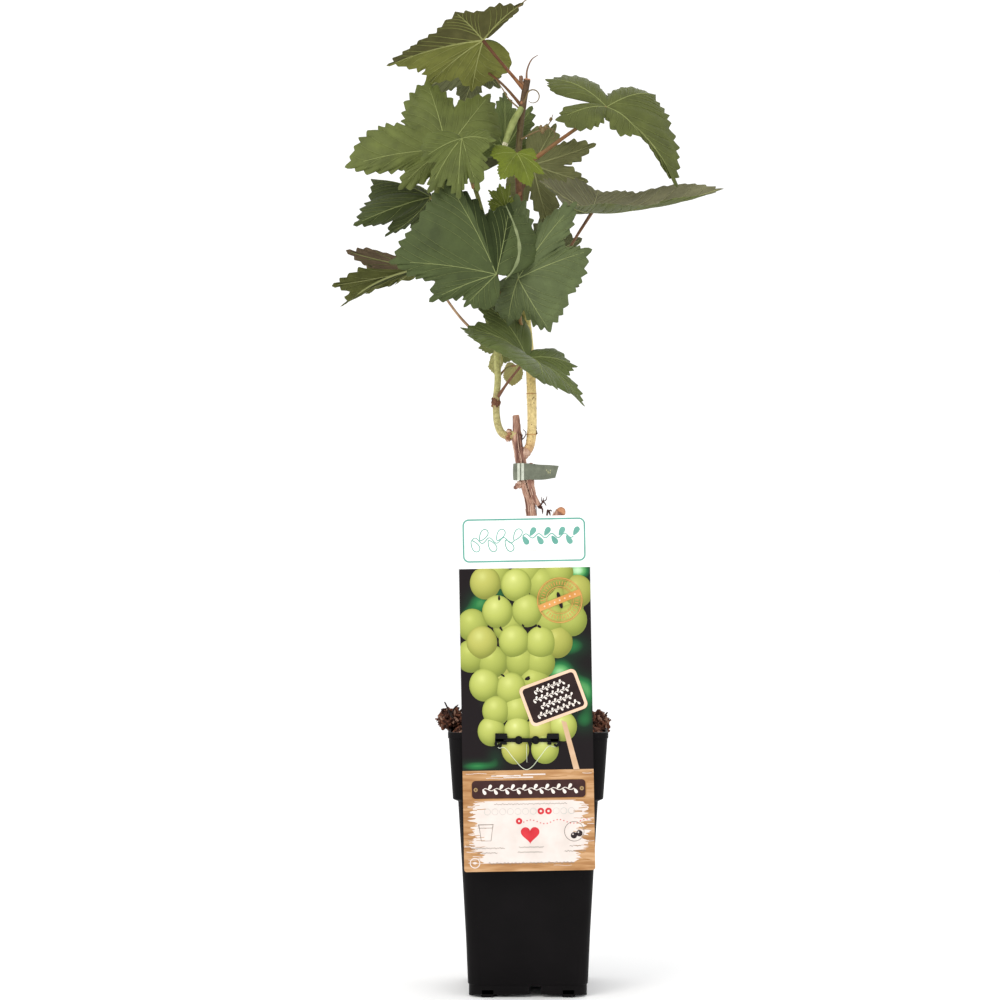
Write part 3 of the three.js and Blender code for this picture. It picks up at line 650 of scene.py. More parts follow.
def blade_faces(stations, rings, leaf):
    """Faces of the blade's two sheets and of its edge, and the number of each one's material."""
    count = len(stations)
    low = count * rings
    hub_top, hub_low = 2 * low, 2 * low + 1
    tops, top_tones, lows, low_tones = [], [], [], []
    first, last, _ = leaf.get("turned", NOWHERE)
    dark_from, dark_to, _ = leaf.get("shaded", NOWHERE)
    for k in range(count - 1):
        a, b = k * rings, (k + 1) * rings
        tops.append((hub_top, b, a))
        lows.append((hub_low, low + a, low + b))
        top_tones += [DIM_FACE if dark_from <= stations[k] < dark_to else UPPER_FACE] * rings
        low_tones += [DIM_FACE if first <= stations[k] < last else LOWER_FACE] * (rings + 1)
        for j in range(rings - 1):
            tops.append((a + j, b + j, b + j + 1, a + j + 1))
            lows.append((low + a + j, low + a + j + 1, low + b + j + 1, low + b + j))
        lows.append((a + rings - 1, b + rings - 1, low + b + rings - 1, low + a + rings - 1))
    for k, flip in ((0, False), (count - 1, True)):
        a = k * rings
        side = [(hub_top, a, low + a, hub_low)]
        side += [(a + j, a + j + 1, low + a + j + 1, low + a + j) for j in range(rings - 1)]
        lows += [face[::-1] if flip else face for face in side]
    return tops + lows, top_tones + low_tones + [LOWER_FACE] * (len(lows) - len(low_tones))


def make_leaf(name, leaf):
    blade = Blade(leaf)
    small = blade.small
    spacing, size = (3.6, 1.4) if small else (9.0, 4.1)
    if max(blade.reaches) < 20:
        spacing, size = 2.2, 0.6
    edge = margin(blade, spacing, size)
    stations = [s for s, _ in edge]
    outs = np.array([out for _, out in edge])
    ring_count = int(np.clip(max(blade.reaches) / 3.0, 7, 24))
    shares = np.linspace(0, 1, ring_count + 1)[1:] ** 0.9
    grid = np.array([blade.points(s, shares) for s in stations])
    along = unit(np.gradient(grid[:, -1], axis=0))
    ups = np.array([blade.up(s) for s in stations])
    outward = unit(np.cross(ups, along))
    rays = unit(grid[:, -1] - grid[:, -2])
    outward *= np.sign(np.einsum("ij,ij->i", outward, rays))[:, None]
    outward = unit(outward + 0.25 * rays)
    spread = np.clip((shares - 0.7) / 0.3, 0, 1) ** 1.4
    grid = grid + outward[:, None, :] * (outs[:, None] * spread)[:, :, None]
    normals = unit(np.cross(np.gradient(grid, axis=0), np.gradient(grid, axis=1)))

    # The blade bulges a little between its veins.
    veins = [(level, [blade.points(s, [r])[0] for s, r in path], path) for level, path in vein_paths(blade)]
    grid = grid + normals * swell_between(veins, grid, shares, small)[:, :, None]

    thick = BLADE_THICK * (0.6 if small else 1)
    half = thick / 2 * (1 - 0.55 * shares)[None, :, None]
    rings = grid.shape[1]
    centre = unit(ups.mean(0))
    shape = Shape()
    sheets = [grid + normals * half, grid - normals * half]
    points = np.concatenate([sheets[0].reshape(-1, 3), sheets[1].reshape(-1, 3),
                             [blade.joint + centre * thick / 2, blade.joint - centre * thick / 2]])
    faces, tones = blade_faces(stations, rings, leaf)
    shape.add(points, faces)
    shape.tones = tones

    add_veins(shape, blade, veins, thick)
    make("leaf_" + name, shape, leaf_looks(name, leaf), ["foliage_" + name], crease=55)
    return blade


blades = {name: make_leaf(name, leaf) for name, leaf in LEAVES.items()}

# The right edge of the central leaf curls up and shows its pale underside.
fold_line, _ = curve([(-18.6, -63.2, 584.8), (-12.6, -65, 591.6), (-8, -66.6, 601), (-7, -66.8, 612),
                      (-9.2, -66, 623), (-13.6, -63.8, 635), (-18, -60.4, 645)], 60)
share = np.linspace(0, 1, 61)
fold_widths = (0.5 + 2.4 * np.sin(math.pi * share**0.8) ** 1.2) * (1 + 0.2 * np.sin(31 * share))
fold = Shape()
ribbon(fold, fold_line, unit(np.column_stack([0.5 + 0 * share, -1 + 0 * share, 0.25 + 0 * share])),
       fold_widths, 0.35, sink=0.4)
FOLD_LOOK = material("leaf_fold", ((112, 122, 84), (136, 144, 106)), size=5, rough=(0.6, 0.75), relief=0.2,
                     relief_size=1.2, specular=0.12)
make("leaf_centre_fold", fold, [FOLD_LOOK], crease=60)


# ---- Stalks ----
# Where each stalk leaves its cane, points it passes, its radius, and its two colours from foot to leaf.
RED_STALK = ((112, 78, 52), (104, 78, 54))
GREEN_STALK = ((128, 126, 72), (146, 112, 74))
STALKS = {
    "top": ((-2, 0, 748), [(-22, -2, 771)], 1.3, ((96, 60, 38), (130, 88, 56))),
    "upper_left": ((-48, -8, 678), [(-58, -12, 690)], 1.6, GREEN_STALK),
    "hanging": ((-44.6, -7, 666), [(-52, -30, 688)], 1.3, GREEN_STALK),
    "behind_tip": ((-7, 0, 668), [(-13, 24, 690)], 1.2, GREEN_STALK),
    "young_front": ((-7.6, 0, 681), [(-8, -22, 688)], 0.9, ((168, 120, 80), (150, 140, 70))),
    "young_cupped": ((-6.4, 0, 636), [(-12, -16, 640)], 0.9, ((150, 140, 74), (140, 144, 70))),
    "upper_right": ((-7.5, 0, 684), [(5, -5, 690), (30, -4, 708)], 1.6, ((140, 98, 64), (120, 94, 60))),
    "right": ((-7, 0, 660), [(0, 22, 678)], 1.3, RED_STALK),
    "far_right": ((-2, 0, 571), [(20, 6, 592), (42, 4, 628)], 1.25, ((104, 72, 50), (114, 84, 60))),
    "left": ((-34.6, -6, 631), [(-58, -6, 648)], 1.3, GREEN_STALK),
    "lower_left": ((-25.4, 0, 531), [(-49.6, 8, 552), (-65, 17, 571)], 1.1,
                   ((152, 122, 96), (164, 134, 104))),
    "centre": ((-24.6, -2.5, 563), [(-23, -30, 570)], 1.4, RED_STALK),
    "centre_right": ((0.6, 0, 543), [(-5.5, -14, 552), (-7, -33, 570)], 1.3, GREEN_STALK),
    "lowest": ((-26, 0, 490), [(-16.4, -8, 504), (-6.4, -18, 516)], 1.05, ((116, 78, 58), (110, 78, 58))),
    "small_left": ((-25, 0, 521), [(-25, 12, 528)], 0.8, GREEN_STALK),
    "small_right": ((-24.8, 0, 508), [(-17, 10, 517)], 0.8, GREEN_STALK),
    "back_upper": ((-41, -7, 657), [(-44, 28, 672)], 1.3, RED_STALK),
    "back_left": ((-33.6, -6, 625), [(-42, 28, 620)], 1.3, GREEN_STALK),
    "back_right": ((-4, 0, 592), [(0, 30, 598)], 1.3, RED_STALK),
    "back_low": ((1.5, 0, 531), [(-7, 22, 534)], 1.0, GREEN_STALK),
    "back_top": ((-4, 0, 734), [(-22, 24, 758)], 1.1, RED_STALK),
}


def stalk_relief(distance, turns):
    return 0.05 * np.sin(5 * turns + 0.1 * distance) + 0.04 * np.sin(2 * turns + 0.35 * distance)


for name, (start, via, radius, (foot, tip)) in STALKS.items():
    blade = blades[name]
    under = -unit(np.array([blade.up(s) for s in range(5)]).mean(0))
    end = blade.joint + under * 0.5
    profile = taper([1.55 * radius, 1.15 * radius, radius, 0.95 * radius, 1.2 * radius])
    shape = Shape()
    tube(shape, [start, *via, end], profile, sides=12, steps=14 + 8 * len(via), relief=stalk_relief)
    look = material("stalk_" + name, (tint(foot, 0.9), foot, tip, tint(tip, 1.12)), size=16,
                    rough=(0.42, 0.6), relief=0.12, relief_size=0.8, specular=0.2)
    make("petiole_" + name, shape, [look], ["stalk_" + name])


# ---- Trunk and canes ----
TRUNK_PATH = [
    (4, 0, 226.4), (4, 0, 290), (3.6, 0, 350), (3.4, 0, 392), (1.2, 0, 409),
    (-3, 0, 423), (-5.8, 0, 440), (-7.8, 0, 450), (-8.8, 0, 462), (-9.5, 0, 476.4),
]
SPUR_PATH = [(5, 0, 352), (14, -2, 372), (21.5, -4, 386), (27.5, -5, 395.5)]
SHOOT_LEFT_PATH = [
    (-9, 0, 461.5), (-15.5, 0, 459.6), (-21, 0, 461.5), (-24.8, 0, 469), (-26.2, 0, 488), (-24.8, 0, 506),
    (-25.4, 0, 531), (-24.6, -2, 558), (-26, -4, 580), (-31, -6, 615), (-39.6, -7, 652), (-49.6, -8, 682),
]
SHOOT_RIGHT_PATH = [
    (-3.6, 2, 444), (1, 1, 449), (3.4, 0, 461), (3.4, 0, 495), (3, 0, 506), (1.3, 0, 535),
    (-0.8, 0, 556), (-3.7, 0, 590), (-6.2, 0, 627), (-7, 0, 661), (-7.8, 0, 686), (-6.2, 0, 715),
    (-3.5, 0, 738), (-0.3, 0, 756.7),
]
SIDE_SHOOT_PATH = [(-5, -1, 733), (-12, -7, 720), (-18.5, -9, 703)]


def bark(grain, depth):
    """Relief of a woody limb: ridges that run along it, with finer grain across them."""
    def at(distance, turns):
        out = []
        for turn in turns:
            spot = Vector((1.5 * math.cos(turn), 1.5 * math.sin(turn), distance / grain))
            ridge = 1 - 2.4 * abs(noise.noise(spot * 1.8))
            broad = noise.noise(Vector((math.cos(turn), math.sin(turn), distance / 9)))
            out.append(depth * (0.7 * ridge + 0.55 * noise.noise(spot * 5.1) + 0.6 * broad))
        return np.array(out)
    return at


def fibres(shape, rings, count, tone, longest=34, width=1.0):
    """Strips of loose bark that follow a limb and peel away at one end."""
    for _ in range(count):
        length = int(rng.integers(8, longest))
        first = int(rng.integers(0, len(rings) - length))
        side = int(rng.integers(0, len(rings[0])))
        part = rings[first:first + length]
        line = np.array([ring[side] for ring in part])
        outward = unit(line - np.array([ring.mean(0) for ring in part]))
        share = np.linspace(0, 1, length)
        peel = 0.12 + rng.uniform(0, 1.6) * share**5
        widths = width * rng.uniform(0.5, 1.4) * np.sin(math.pi * (0.08 + 0.86 * share)) ** 0.6
        ribbon(shape, line + outward * peel[:, None], outward, widths, 0.22, tone, sink=0.25)


BARK = material("bark", ((88, 58, 50), (142, 104, 90), (182, 144, 124), (210, 176, 154)), size=5,
                stretch=(1, 1, 0.25), rough=(0.8, 0.95), relief=0.5, relief_size=1.6, specular=0.15)
BARK_PALE = material("bark_pale", ((172, 136, 116), (210, 180, 160)), size=4, stretch=(1, 1, 0.3),
                     rough=(0.8, 0.9), relief=0.3, relief_size=1.2, specular=0.15)

def dry_wood(name, tones, rough, relief=0.3, relief_size=1.0, specular=0.15):
    return material(name, tones, size=3, rough=rough, relief=relief, relief_size=relief_size,
                    specular=specular)


BARK_DARK = dry_wood("bark_dark", ((52, 34, 30), (92, 62, 52)), (0.85, 0.95), specular=0.12)
BUD_SCALE = dry_wood("bud_scale", ((122, 80, 58), (172, 124, 92)), (0.6, 0.8), specular=0.2)
CUT_WOOD = dry_wood("cut_wood", ((164, 110, 78), (200, 146, 110)), (0.75, 0.85), relief=0.2, relief_size=0.8)
NODE_BROWN = dry_wood("node_brown", ((84, 54, 42), (132, 90, 68)), (0.7, 0.85))
STRAW_NODE = dry_wood("straw_node", ((150, 112, 70), (190, 150, 98)), (0.65, 0.8))
# the woody limbs' materials, and the number that each of them has on a face
WOOD_LOOKS = [BARK, BARK_PALE, BARK_DARK, CUT_WOOD]
ROUGH_BARK, PALE_BARK, DARK_BARK, CUT_FACE = range(4)

trunk = Shape()
rings = tube(trunk, TRUNK_PATH, taper([8.5, 5.8, 5.5, 5.2, 4.5, 3.6, 4.3, 2.5], [0.93], width=0.012),
             sides=34, steps=250, relief=bark(24, 0.5), dome=0.08)
fibres(trunk, rings, 70, PALE_BARK)
fibres(trunk, rings, 24, DARK_BARK, width=0.8)
tube(trunk, [(-9.4, 0, 475.6), (-9.52, 0, 476.9)], lambda t: 2.35, sides=24, steps=3,
     relief=bark(3, 0.12), tone=CUT_FACE, dome=0.05)
BURRS = (
    ((-7.6, -1.5, 418.2), (3.0, 2.4, 2.6), ROUGH_BARK), ((-9.7, -1.6, 416.4), (1.9, 1.5, 1.6), ROUGH_BARK),
    ((-6.8, -3.6, 420.4), (2.0, 1.2, 1.4), PALE_BARK), ((-5.0, -2.8, 447.0), (2.4, 2.0, 3.4), ROUGH_BARK),
    ((-3.6, -2.2, 443.0), (2.2, 2.0, 2.8), ROUGH_BARK), ((-11.6, -1.2, 460.6), (2.6, 2.2, 3.0), ROUGH_BARK),
    ((-6.2, -1.8, 459.0), (1.8, 1.6, 2.4), ROUGH_BARK), ((2.6, -2.6, 404.0), (2.6, 1.6, 3.2), ROUGH_BARK),
)
for place, radii, tone in BURRS:
    lump(trunk, place, radii, tone, rough=0.4)
# an older strand that lies against the trunk on the right and ends in a dark snag
strand = tube(trunk, [(0.4, -3.8, 425.5), (3.4, -4.5, 417), (6, -4.9, 408), (9.6, -5, 401.4)],
              taper([2.6, 2.3, 2.0, 1.7]), sides=20, steps=60, relief=bark(12, 0.35))
fibres(trunk, strand, 10, PALE_BARK, longest=24, width=0.8)
tube(trunk, [(2.4, -2.6, 436.5), (3.6, -3.0, 430), (4.4, -3.4, 421), (4.6, -3.2, 414)],
     taper([2.0, 1.5, 1.3, 1.2]), sides=16, steps=40, relief=bark(10, 0.25))
lump(trunk, (10.4, -5.2, 400.2), (1.9, 1.5, 1.3), DARK_BARK, rough=0.7, grain=2.4)
tube(trunk, [(10, -5.2, 400), (12.2, -5.4, 398.6), (12.6, -5.4, 394.6)], taper([0.9, 0.7, 0.4]), sides=8,
     steps=14, relief=bark(3, 0.2), tone=DARK_BARK)
SNAGS = (
    ((10.6, -5.2, 401.4), (12.6, -5.6, 404.2), (13.4, -5.8, 407.6), 0.65),
    ((13.2, -5.8, 405.0), (15.2, -5.9, 405.8), (16.4, -6.0, 409.4), 0.4),
    ((12.8, -5.7, 404.6), (14.6, -5.4, 403.0), (15.6, -5.2, 401.0), 0.5),
    ((12.4, -5.6, 404.0), (11.6, -5.8, 406.6), (12.0, -6.0, 408.8), 0.35),
    ((16.8, -4.4, 397.6), (18.2, -4.6, 395.6), (19.0, -4.6, 392.6), 0.75),
    ((17.6, -4.5, 396.6), (19.4, -4.7, 397.4), (20.4, -4.8, 396.4), 0.55),
)
for start, middle, end, thick in SNAGS:
    tube(trunk, [start, middle, end], taper([thick * 1.2, thick, thick * 0.4]), sides=8, steps=12,
         relief=bark(2, 0.18), tone=DARK_BARK)
tube(trunk, [(14.6, -2.4, 371), (15.4, -3.4, 384), (16.8, -4.4, 398)], taper([1.1, 0.8, 0.6]), sides=10,
     relief=bark(5, 0.2), tone=DARK_BARK)
# a dark dry tendril curled between the trunk and the right shoot
tube(trunk, [(-6.6, -2.4, 459.5), (-4.6, -3.4, 456.6), (-1.8, -3.8, 459.6), (-1.4, -3.8, 462.4),
             (-3.6, -3.8, 464.8)], taper([0.7, 0.5, 0.4, 0.3]), sides=8, steps=26, tone=DARK_BARK)
tube(trunk, [(-6, -2.6, 461), (-5, -3.2, 458.6), (-4.4, -3.4, 455.8)], taper([0.8, 0.6, 0.3]), sides=8,
     steps=12, tone=DARK_BARK)
make("trunk_bark", trunk, WOOD_LOOKS, ["trunk"], crease=50)

spur = Shape()
rings = tube(spur, SPUR_PATH, taper([3.6, 3.8, 4.3]), sides=28, steps=70, relief=bark(14, 0.4), dome=0.1)
fibres(spur, rings, 16, PALE_BARK, longest=24, width=0.8)
lump(spur, (27.9, -5.2, 396.2), (3.9, 3.4, 4.1), CUT_FACE, rough=0.12, grain=1.1)
lump(spur, (24.3, -4.8, 394.8), (1.1, 2.4, 3.0), DARK_BARK, rough=0.5)
make("spur_bark", spur, WOOD_LOOKS, ["pruned_spur"], crease=50)


def cane_relief(distance, turns):
    return 0.06 * np.cos(7 * turns) + 0.05 * np.sin(3 * turns + 0.05 * distance)


# the canes' materials after their own skin, and the number that each of them has on a face
CANE_LOOKS = [BUD_SCALE, BARK_DARK, BARK_PALE, NODE_BROWN, CUT_WOOD, STRAW_NODE]
CANE_BUD, CANE_DARK, CANE_PALE, CANE_NODE, CANE_CUT, CANE_STRAW = range(1, 7)

left_cane = Shape()
tube(left_cane, SHOOT_LEFT_PATH, taper([3.4, 2.8, 2.7, 2.5, 2.2, 1.9, 1.6], [0.17], width=0.016), sides=24,
     steps=230, relief=cane_relief)
tube(left_cane, [(-25.9, 0, 484.4), (-26.25, 0, 487.6), (-26.1, 0, 490.8)], taper([2.9, 3.9, 3.0]), sides=22,
     steps=16, relief=bark(3, 0.35), tone=CANE_NODE)
for x, y, z, size in ((-29.4, -0.8, 484.6, 1.0), (-29.2, -0.6, 490.6, 0.9), (-23.2, -1.4, 487.4, 1.1),
                      (-25.4, -3.2, 485.0, 1.2), (-27.4, -3.0, 489.8, 1.0)):
    lump(left_cane, (x, y, z), (size, size, 1.3 * size), CANE_NODE, detail=2, rough=0.6)
for turn in full_turn(11):
    # bud scales round the foot of the cane, where it leaves the trunk
    y, z = 3.4 * math.cos(turn), 460.2 + 4.0 * math.sin(turn)
    lump(left_cane, (-15.6 + rng.uniform(-0.8, 0.8), y, z), (2.0, 1.1, 1.3),
         CANE_BUD if turn % 2 > 0.8 else CANE_PALE, detail=2, rough=0.7, grain=2.2)
LEFT_COLOURS = (
    (455, (186, 162, 112)), (464, (190, 180, 124)), (480, (184, 176, 120)), (484, (170, 152, 108)),
    (493, (166, 152, 106)), (498, (186, 182, 122)), (530, (178, 178, 112)), (600, (140, 144, 82)),
    (683, (116, 122, 62)),
)
make("cane_left", left_cane, [along_height("cane_left", LEFT_COLOURS), *CANE_LOOKS], ["shoot_left"],
     crease=55)

right_cane = Shape()
rings = tube(right_cane, SHOOT_RIGHT_PATH,
             taper([3.8, 4, 3.6, 3.2, 2.9, 2.7, 2.9], [0.06, 0.16, 0.93], swelling=0.06, width=0.01),
             sides=24, steps=280, relief=cane_relief, dome=0.1)
for _ in range(90):
    k, i = int(rng.integers(8, 120)), int(rng.integers(0, 24))
    size = rng.uniform(0.16, 0.42)
    lump(right_cane, rings[k][i], (size, size, 1.5 * size), CANE_DARK, detail=1, rough=0.4)
for centre, radius, tall in (((3.4, 0, 460.7), 4.3, 0.6), ((3.35, 0, 494.8), 4.35, 0.5)):
    low, high = (centre[0], centre[1], centre[2] - tall), (centre[0], centre[1], centre[2] + tall)
    tube(right_cane, [low, centre, high], taper([radius * 0.94, radius, radius * 0.94]), sides=24, steps=8,
         relief=bark(2, 0.15), tone=CANE_STRAW)
for x, z in ((6.8, 463.4), (7.4, 461.8), (6.9, 466.0)):
    lump(right_cane, (x, -0.8, z), (1.1, 0.9, 0.9), CANE_DARK, detail=2, rough=0.6)
lump(right_cane, (-1.8, -1.4, 445.6), (4.0, 3.0, 4.4), CANE_PALE, rough=0.35)
lump(right_cane, (0.8, -1.2, 450.6), (3.0, 2.4, 2.6), rough=0.35)
# bud scales and a dried stub where the upper stalks leave the cane
for x, y, z, size in ((-7.6, -2.2, 684.4, 1.5), (-5.6, -2.4, 682.6, 1.2), (-4.8, -2.0, 737.0, 1.3),
                      (-6.6, -2.6, 661.2, 1.4), (-1.4, -1.2, 751.4, 1.3)):
    lump(right_cane, (x, y, z), (size, size, 1.3 * size), CANE_BUD, detail=2, rough=0.5)
tube(right_cane, [(-0.35, 0, 756), (-0.25, 0, 757.6)], lambda t: 2.75, sides=24, steps=3,
     relief=bark(2, 0.15), tone=CANE_CUT, dome=0.05)
RIGHT_COLOURS = (
    (444, (186, 142, 110)), (451, (212, 176, 126)), (458, (222, 196, 136)), (470, (232, 210, 148)),
    (494, (232, 208, 146)), (500, (226, 200, 132)), (530, (220, 202, 128)), (556, (206, 196, 118)),
    (600, (170, 166, 92)), (645, (136, 124, 72)), (656, (118, 80, 54)), (676, (112, 78, 50)),
    (690, (98, 90, 50)), (730, (92, 72, 44)), (757, (80, 58, 38)),
)
make("cane_right", right_cane, [along_height("cane_right", RIGHT_COLOURS), *CANE_LOOKS], ["shoot_right"],
     crease=55)

PALE_SHOOT = material("pale_shoot", ((116, 126, 68), (146, 154, 92)), size=6, rough=(0.5, 0.65), relief=0.15,
                      relief_size=1.0, specular=0.3)
PALE_TIP = material("pale_tip", ((196, 192, 160), (222, 216, 188)), size=3, rough=(0.7, 0.8), specular=0.2)
side_shoot = Shape()
tube(side_shoot, SIDE_SHOOT_PATH, taper([2.6, 3, 2.4]), sides=20, steps=50, relief=cane_relief)
for step in range(7):
    turn = step * 0.9
    base = (-18.2 + 1.6 * math.cos(turn), -9 + 1.6 * math.sin(turn), 703.6)
    tip = (base[0] - 0.6 - 0.3 * step % 2, base[1] - 0.5, 700.4 - rng.uniform(0, 2.2))
    tube(side_shoot, [base, tip], taper([0.8, 0.3]), sides=6, steps=4, tone=1)
make("side_shoot_skin", side_shoot, [PALE_SHOOT, PALE_TIP], ["side_shoot"], crease=55)


def tendril_look(name, tones):
    return material(name, tones, size=5, rough=(0.45, 0.6), relief=0.1, relief_size=0.8, specular=0.35)


TENDRIL = tendril_look("tendril", ((98, 82, 52), (126, 104, 66)))
TENDRIL_RED = tendril_look("tendril_red", ((98, 72, 54), (128, 94, 68)))
loop = [(4.6 + 5.2 * math.cos(a), -3 - 0.4 * a, 742.6 + 5.4 * math.sin(a))
        for a in np.linspace(3.0, -2.4, 12)]
TENDRILS = {
    "tip": ([(-0.8, -1, 755.5), (-0.2, -1, 765), (3.6, -2, 773.5), (8.6, -3, 777)], 0.75, TENDRIL_RED),
    "loop": ([(-3.6, -1.6, 736.5), *loop], 0.6, TENDRIL),
    "left": ([(-6, -1, 732), (-16, -3, 741), (-20.5, -5, 748), (-26.2, -6, 756)], 0.6, TENDRIL),
    "leaf_tip": ([(-8.4, -41, 809.6), (-2.6, -43, 814.6), (2.6, -43.5, 817.6), (6.4, -44, 817)], 0.5,
                 TENDRIL),
    "right": ([(-5, -3, 707), (6, -8, 712), (13.6, -10, 714.4), (18, -10, 719), (21.2, -10.5, 726.4)], 0.7,
              TENDRIL),
    "right_curl": ([(13.6, -10, 714.4), (18.6, -11, 714.8), (22.8, -12, 711.2), (22, -12, 706.4),
                    (18.4, -12, 706)], 0.5, TENDRIL),
}
for name, (path, radius, look) in TENDRILS.items():
    shape = Shape()
    tube(shape, path, taper([radius * 1.3, radius, radius * 0.8, radius * 0.4]), sides=10, steps=60)
    if name == "right":
        for x, z, size in ((12.6, 713.2, 2.2), (15.2, 715.4, 1.7), (11.0, 715.6, 1.5), (19.4, 722.4, 1.3)):
            lump(shape, (x, -10.6, z), (size, 1.2, 1.4 * size), detail=2, rough=0.5)
    if name == "tip":
        lump(shape, (-5.4, -1.6, 757.2), (1.8, 1.4, 3.0), detail=3, rough=0.3)
        tube(shape, [(-2.2, -0.6, 751), (-4.4, -1.2, 754.6), (-5.6, -1.6, 757)], taper([1.3, 1.1, 1.0]),
             sides=10, steps=12)
    make("tendril_" + name, shape, [look], crease=60)


# ---- Tie ----
TIE_LOW, TIE_HIGH, TIE_THICK = 422.6, 436.4, 0.9
TIE_PATH = [
    (2.0, 3.4), (-1.4, 6.3), (-5, 6.9), (-9, 5.4), (-11.2, 1.6), (-11.2, -2.2), (-9.2, -5.2), (-5.6, -6.6),
    (0, -6.3), (6, -5.8), (13, -5.9), (19, -5.3), (24.6, -5.7),
]
TIE_ROWS = 8
# the number that each of the tie's materials has on a face; the second of them is a painted highlight
TIE_PLAIN, TIE_PAINTED_HIGHLIGHT, TIE_SCRATCH = range(3)
# spans of x in mm, on the front of the tie as it curves round the trunk, where a painted highlight stands in
# for the shine of the light
TIE_HIGHLIGHT_SPANS = ((-8.3, -6.4), (-5.3, -3.2))


def tie_strip(shape):
    """A flat strip round the trunk, rows of points from its lower to its upper edge."""
    middle, _ = curve([(x, y, 0) for x, y in TIE_PATH], 110)
    across = unit(np.cross(np.gradient(middle, axis=0), (0, 0, 1)))
    count = len(middle)
    sheets = []
    for offset in (TIE_THICK / 2, -TIE_THICK / 2):
        sheet = []
        for k, (point, side) in enumerate(zip(middle, across)):
            past = max(0, (point[0] - 6) / 18) if k > count / 2 else 0
            low = TIE_LOW + 1.5 * past - 0.3 * math.sin(0.16 * k)
            high = TIE_HIGH - 2.0 * past**0.7 + 0.3 * math.sin(0.13 * k + 1)
            slant = 1.1 * past**8
            for row in range(TIE_ROWS):
                share = row / (TIE_ROWS - 1)
                z = low + (high - low) * share
                belly = 0.35 * math.sin(math.pi * share) * (1 + math.sin(0.2 * k))
                spot = point + side * (offset + belly * 0.5)
                sheet.append((spot[0] + slant * (share - 0.5) * 2, spot[1], z))
        sheets.append(np.array(sheet))
    total = count * TIE_ROWS
    faces, tones = [], []
    for k in range(count - 1):
        x, y = middle[k][:2]
        # streak marks the front faces in those spans, which take the painted highlight
        streak = k > count / 2 - 20 and y < -3 and any(a <= x <= b for a, b in TIE_HIGHLIGHT_SPANS)
        for row in range(TIE_ROWS - 1):
            a, b = k * TIE_ROWS + row, (k + 1) * TIE_ROWS + row
            faces += [(a, b, b + 1, a + 1), (total + a, total + a + 1, total + b + 1, total + b)]
            tones += [TIE_PAINTED_HIGHLIGHT if streak else TIE_PLAIN, TIE_PLAIN]
        a, b = k * TIE_ROWS, (k + 1) * TIE_ROWS
        top_a, top_b = a + TIE_ROWS - 1, b + TIE_ROWS - 1
        faces += [(a, total + a, total + b, b), (top_b, total + top_b, total + top_a, top_a)]
        tones += [TIE_PLAIN] * 2
    last = (count - 1) * TIE_ROWS
    for row in range(TIE_ROWS - 1):
        faces += [(row, row + 1, total + row + 1, total + row),
                  (last + row + 1, last + row, total + last + row, total + last + row + 1)]
        tones += [TIE_PLAIN] * 2
    shape.add(np.concatenate(sheets), faces)
    shape.tones = tones


tie = Shape()
tie_strip(tie)
for x, z, length in ((15.6, 431.6, 1.6), (17.0, 430.2, 2.2), (18.6, 429.4, 1.4), (18.9, 431.2, 1.2)):
    line = np.array([(x + 0.3 * t, -6.25, z - length * t) for t in np.linspace(0, 1, 6)])
    ribbon(tie, line, np.tile(FORWARD, (len(line), 1)), 0.55, 0.12, TIE_SCRATCH, sink=0.3)
TIE_LOOKS = [
    material("tie", ((92, 97, 82), (102, 107, 91), (112, 117, 100)), size=7, rough=(0.4, 0.55), relief=0.12,
             relief_size=1.5, specular=0.35),
    # painted highlight: a pale shine where the tie curves round the trunk
    material("tie_painted_highlight", ((176, 182, 166), (206, 210, 196)), size=5, rough=(0.35, 0.5), specular=0.35),
    material("tie_scratch", ((182, 178, 128), (200, 196, 150)), size=3, rough=(0.6, 0.7)),
]
make("tie_strip", tie, TIE_LOOKS, ["tie_band"], crease=45)


# ---- Pot ----
POT_HEIGHT = 217.5
RIM_HALF, COLLAR_FOOT_HALF, BODY_TOP_HALF, BODY_FOOT_HALF, SKIRT_HALF = 65, 61.3, 57.1, 49.2, 48.4
COLLAR_BOTTOM, SKIRT_TOP, FOOT_HEIGHT, POT_CORNER, POT_WALL, POT_FLOOR = 162.5, 10, 2, 9, 2, 13
DRAIN_X, DRAIN_HALF, DRAIN_TOP = 6, 4.6, 9
FOOT_SPREAD, FOOT_LENGTH = 33, 10
POT_BLACK = (13, 11, 12)


def pot_between(z):
    """Half the width of the pot's outside on the collar at a height."""
    share = (z - COLLAR_BOTTOM) / (POT_HEIGHT - COLLAR_BOTTOM)
    return COLLAR_FOOT_HALF + (RIM_HALF - COLLAR_FOOT_HALF) * share


